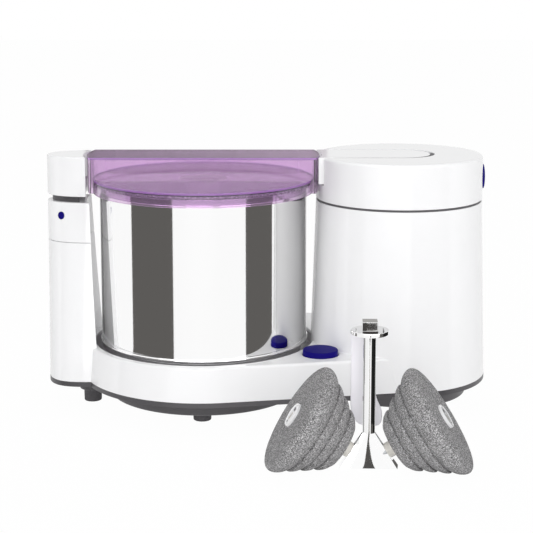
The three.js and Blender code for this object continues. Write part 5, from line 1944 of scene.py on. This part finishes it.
@dataclass
class Studio:
    """Pale floor, white room, soft lamps, cards that only mirrors see as painted reflections, veils of
    painted shade before the drum's reflections, and the camera.
    """

    camera_mm: Place = (57.845, -1330.04, 413.32)
    pitch: float = 0.167
    lens_mm: float = 98.82
    shift: float = -0.1218
    near_clip: float = 0.05
    room_light: float = 0.5
    floor_size: float = 6.0
    floor_shade: float = 0.95
    floor_roughness: float = 0.9
    floor_glow: float = 0.98
    arc_steps: int = 24
    loose_stretch: float = 1.04
    loose_reach: float = 0.03
    aim: Place = (0.03, 0.0, 0.12)
    lamp_table: dict[str, tuple[Place, float, float]] = field(
        default_factory=lambda: {
            "lamp_front_left": ((-1.1, -1.5, 1.1), 1.2, 7.0),
            "lamp_front_right": ((1.1, -1.5, 0.8), 1.2, 10.0),
            "lamp_low": ((-0.1, -2.0, -0.05), 1.0, 8.5),
            "lamp_above": ((0.0, 0.2, 1.9), 1.6, 5.5),
        }
    )
    # Cards round the drum that only mirrors see: painted reflections in the drum.
    curved_cards: dict[str, tuple[Point, Point, Point, str]] = field(
        default_factory=lambda: {
            "card_left": ((330.0, 334.0), (-72.2, -26.8), (0.4, 232.0), "#5e5c5a"),
            "card_right": ((330.0, 334.0), (42.1, 71.8), (0.4, 232.0), "#5e5c5a"),
            "card_left_foot": ((190.0, 330.0), (-72.2, -26.8), (0.4, 1.0), "#5e5c5a"),
            "card_right_foot": ((230.0, 330.0), (42.1, 71.8), (0.4, 1.0), "#5e5c5a"),
        }
    )
    # Veils close to the drum: painted shade over its reflections of the tower and the column.
    veils: dict[str, tuple[Point, Point, float]] = field(
        default_factory=lambda: {
            "shade_veil_right": ((47.0, 98.0), (63.0, 197.0), 0.86),
            "shade_veil_left": ((-99.0, -82.0), (66.0, 197.0), 0.74),
        }
    )
    veil_radii: Point = (100.0, 100.4)
    side_centre: Point = (141.2, -185.0)
    side_radii: Point = (115.0, 118.0)
    side_sweep: Point = (72.2383, 130.107)
    side_heights: Point = (0.4, 200.0)
    side_tone: str = "#232323"
    # Cards by the stone assembly that only its mirror steel sees: painted reflections on the stem, disc and
    # head.
    flat_cards: dict[str, tuple[Place, Place, str]] = field(
        default_factory=lambda: {
            "card_near": ((136.0, -318.0, 0.4), (146.4, -192.5, 1.0), "#4f4d4b"),
            "card_middle": ((136.0, -600.0, 0.4), (147.6, -318.0, 1.0), "#a9a6a2"),
            "card_far": ((126.0, -725.0, 0.4), (158.0, -600.0, 1.0), "#3b3938"),
            "card_high": ((126.0, -600.0, 150.0), (158.0, -599.0, 300.0), "#3b3938"),
            "card_stem_right": ((152.0, -189.0, 20.0), (152.4, -187.4, 125.0), "#161616"),
            "card_stem_back": ((152.0, -187.4, 20.0), (152.4, -180.0, 125.0), "#8e8e8e"),
            "card_stem_left": ((130.0, -187.8, 20.0), (130.4, -180.0, 125.0), "#9c9c9c"),
            "card_head": ((134.9, -191.0, 116.0), (147.5, -190.6, 122.8), "#3f3d3c"),
            "card_disc_top": ((105.0, -150.0, 118.0), (178.0, -149.6, 130.2), "#dcdcdd"),
            "card_head_top": ((124.0, -150.0, 130.3), (160.0, -149.6, 137.0), "#a5a4a2"),
            "card_stem_front": ((130.0, -205.0, 20.0), (130.4, -188.0, 125.0), "#f6f6f6"),
        }
    )
    # Cards far behind: painted reflections along the tops of the bridge and the cap.
    behind_count: int = 8
    behind_start: float = -158.0
    behind_width: float = 36.0
    behind_depths: Point = (400.0, 402.0)
    behind_heights: Point = (236.0, 345.0)
    behind_shade: Point = (0.31, 0.03)
    behind_tint: Point = (0.86, 0.98)

    def build(self, maker: Maker) -> None:
        """Makes everything round the object."""
        self.world()
        self.floor()
        self.cards(maker)
        self.lamps(maker)
        self.camera(maker)
        bpy.context.scene.view_settings.view_transform = "Standard"

    def world(self) -> None:
        """White for the camera, for mirrors and through glass, softer as light."""
        made = bpy.data.worlds.new("white_room")
        bpy.context.scene.world = made
        tree = emptied(made)
        rays = add_node(tree, "ShaderNodeLightPath").outputs
        straight = either(tree, rays["Is Camera Ray"], rays["Is Transmission Ray"])
        strength = spread(tree, either(tree, straight, rays["Is Glossy Ray"]), self.room_light, 1.0)
        light = add_node(tree, "ShaderNodeBackground", {"Color": (1, 1, 1, 1)}, {"Strength": strength})
        add_node(tree, "ShaderNodeOutputWorld", links={"Surface": light.outputs[0]})

    def floor(self) -> None:
        """Pale floor that keeps the object's soft shadow."""
        shape = bmesh.new()
        bmesh.ops.create_grid(shape, x_segments=4, y_segments=4, size=self.floor_size)
        mesh = mesh_of("studio_floor", shape)
        made = bpy.data.materials.new("studio_paper")
        tree = emptied(made)
        rays = add_node(tree, "ShaderNodeLightPath").outputs
        tone = (self.floor_shade, self.floor_shade, self.floor_shade, 1)
        paper = add_node(
            tree, "ShaderNodeBsdfPrincipled", {"Base Color": tone, "Roughness": self.floor_roughness}
        )
        glow = add_node(tree, "ShaderNodeEmission", {"Color": (1, 1, 1, 1), "Strength": 1.0})
        seen = either(tree, rays["Is Camera Ray"], rays["Is Glossy Ray"])
        share = spread(tree, seen, 0.0, self.floor_glow)
        mix = add_node(
            tree, "ShaderNodeMixShader", links={0: share, 1: paper.outputs["BSDF"], 2: glow.outputs[0]}
        )
        add_node(tree, "ShaderNodeOutputMaterial", links={"Surface": mix.outputs[0]})
        mesh.materials.append(made)
        floor = placed("studio_floor", mesh)

    def curved(self, radii: Point, sweep: Point, heights: Point, centre: Point = (0.0, 0.0)) -> BMesh:
        """A curved sheet round an upright axis.

        Args:
            radii: Its inner and outer radius.
            sweep: Its first and last angle in degrees, counted from the front.
            heights: Its lower and upper edge.
            centre: The axis in plan; the drum's when left out.

        Returns:
            The sheet.
        """
        first, last = (math.radians(angle - 90) for angle in sweep)
        inner = arc(centre, radii[0], first, last, self.arc_steps)
        return raised([*inner, *arc(centre, radii[1], last, first, self.arc_steps)], *heights)

    def cards(self, maker: Maker) -> None:
        """Dark and pale cards round the drum and the stone assembly, painted reflections for the mirror
        steel, and veils close to the drum, painted shade over its reflections.
        """
        axis, place = maker.assembly_axis, maker.machine_place()
        for name, (radii, sweep, heights, tone) in self.curved_cards.items():
            self.card(name, moved(self.curved(radii, sweep, heights), place), linear(tone))
            # Through the lid these cards also show as painted shade on its skirt.
            bpy.data.objects[name].visible_transmission = True
        for name, (sweep, heights, share) in self.veils.items():
            veil = moved(self.curved(self.veil_radii, sweep, heights), place)
            self.card(name, veil, (share, share, share, 1.0), sheer=True)
        side = self.curved(self.side_radii, self.side_sweep, self.side_heights, self.side_centre)
        self.card("card_side", moved(side, place), linear(self.side_tone), axis)
        for name, (low, high, tone) in self.flat_cards.items():
            self.card(name, moved(block(low, high), place), linear(tone), axis)
        (near, far), (bottom, top) = self.behind_depths, self.behind_heights
        darkest, gain = self.behind_shade
        for i in range(self.behind_count):
            left, shade = self.behind_start + self.behind_width * i, darkest + gain * i
            body = moved(block((left, near, bottom), (left + self.behind_width, far, top)), place)
            green, blue = (shade * share for share in self.behind_tint)
            self.card(f"card_behind_{i + 1}", body, (shade, green, blue, 1.0))

    def card(
        self, name: str, shape: BMesh, tone: Colour, axis: Vector | None = None, sheer: bool = False
    ) -> None:
        """Adds a card of even tone that only mirrors see: a painted reflection, or a veil of painted shade.

        Args:
            name: Its name.
            shape: Its solid, which is used up.
            tone: Its colour.
            axis: The upright axis whose mirrors alone see it; all mirrors see it when left out.
            sheer: Whether it is a veil of painted shade that dims what mirrors see behind it, in place of a
                dull card.
        """
        mesh = mesh_of(name, shape)
        made = bpy.data.materials.new(name)
        tree = emptied(made)
        kind = "ShaderNodeBsdfTransparent" if sheer else "ShaderNodeEmission"
        surface = add_node(tree, kind, {"Color": tone}).outputs[0]
        if axis is not None:
            surface = self.near_only(tree, surface, axis)
        add_node(tree, "ShaderNodeOutputMaterial", links={"Surface": surface})
        mesh.materials.append(made)
        card = placed(name, mesh)
        card.visible_camera = False
        card.visible_diffuse = False
        card.visible_shadow = False
        card.visible_transmission = False

    def near_only(self, tree: NodeTree, surface: NodeSocket, axis: Vector) -> NodeSocket:
        """Hides a card from mirrors that stand farther away than an upright axis.

        Args:
            tree: The card's node tree.
            surface: The card's shader.
            axis: The axis.

        Returns:
            The shader that is clear for longer rays than those from the axis.
        """
        stretch = (self.loose_stretch, self.loose_stretch, 0.0)
        spot = add_node(tree, "ShaderNodeNewGeometry").outputs["Position"]
        away = add_node(tree, "ShaderNodeVectorMath", {1: axis}, {0: spot}, operation="SUBTRACT")
        level = add_node(
            tree, "ShaderNodeVectorMath", {1: stretch}, {0: away.outputs[0]}, operation="MULTIPLY"
        )
        far = add_node(tree, "ShaderNodeVectorMath", links={0: level.outputs[0]}, operation="LENGTH")
        ray = add_node(tree, "ShaderNodeLightPath").outputs["Ray Length"]
        over = add_node(
            tree, "ShaderNodeMath", links={0: ray, 1: far.outputs["Value"]}, operation="SUBTRACT"
        )
        hidden = add_node(
            tree, "ShaderNodeMath", {1: self.loose_reach}, {0: over.outputs[0]}, operation="GREATER_THAN"
        )
        clear = add_node(tree, "ShaderNodeBsdfTransparent")
        return add_node(
            tree, "ShaderNodeMixShader", links={0: hidden.outputs[0], 1: surface, 2: clear.outputs[0]}
        ).outputs[0]

    def lamp(self, name: str, place: Vector, aim: Vector, size: float, watts: float) -> None:
        """Adds a soft square lamp.

        Args:
            name: Its name.
            place: Where it hangs, in metres.
            aim: What it points at.
            size: Its side in metres.
            watts: Its power.
        """
        data = bpy.data.lights.new(name, "AREA")
        data.size = size
        data.energy = watts
        made = placed(name, data)
        made.location = place
        made.rotation_euler = (aim - place).to_track_quat("-Z", "Y").to_euler()

    def lamps(self, maker: Maker) -> None:
        """Two large lamps in front, a low one that casts no shadow and one above."""
        aim = maker.drum_axis + Vector(self.aim)
        for name, (away, size, watts) in self.lamp_table.items():
            self.lamp(name, aim + Vector(away), aim, size, watts)
        bpy.data.lights["lamp_low"].use_shadow = False

    def camera(self, maker: Maker) -> None:
        """Camera at the photograph's viewpoint."""
        data = bpy.data.cameras.new("camera")
        data.sensor_width = 36.0
        data.lens = self.lens_mm
        data.shift_y = self.shift
        data.clip_start = self.near_clip
        made = placed("camera", data)
        made.location = maker.machine_place() @ Vector(self.camera_mm)
        made.rotation_euler = (math.pi / 2 - self.pitch, 0, 0)
        bpy.context.scene.camera = made


def corners(bounds: tuple[Vector, Vector]) -> list[list[float]]:
    """Turns a box of two corners to plain lists."""
    return [[float(c) for c in corner] for corner in bounds]


def middle_of(node: str) -> Vector:
    """The middle of a node's footprint, on the floor."""
    low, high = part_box(node)
    return Vector(((low.x + high.x) / 2, (low.y + high.y) / 2, 0))


def main() -> None:
    """Builds every sub-assembly in order."""
    logging.basicConfig(level=logging.INFO, format="%(message)s")
    for old in list(bpy.data.objects):
        bpy.data.objects.remove(old)
    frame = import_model()
    maker = Maker(middle_of("drum_shell"), middle_of("carrier_disc"))
    plan = Plan()
    Housing(plan).build(maker)
    Buttons().build(maker)
    Arm(plan).build(maker)
    Drum().build(maker)
    StoneAssembly().build(maker)
    InnerParts().dress(frame["nodes"])
    Studio().build(maker)
    LOG.info("%d pieces made", len(maker.made))


if __name__ == "__main__":
    main()
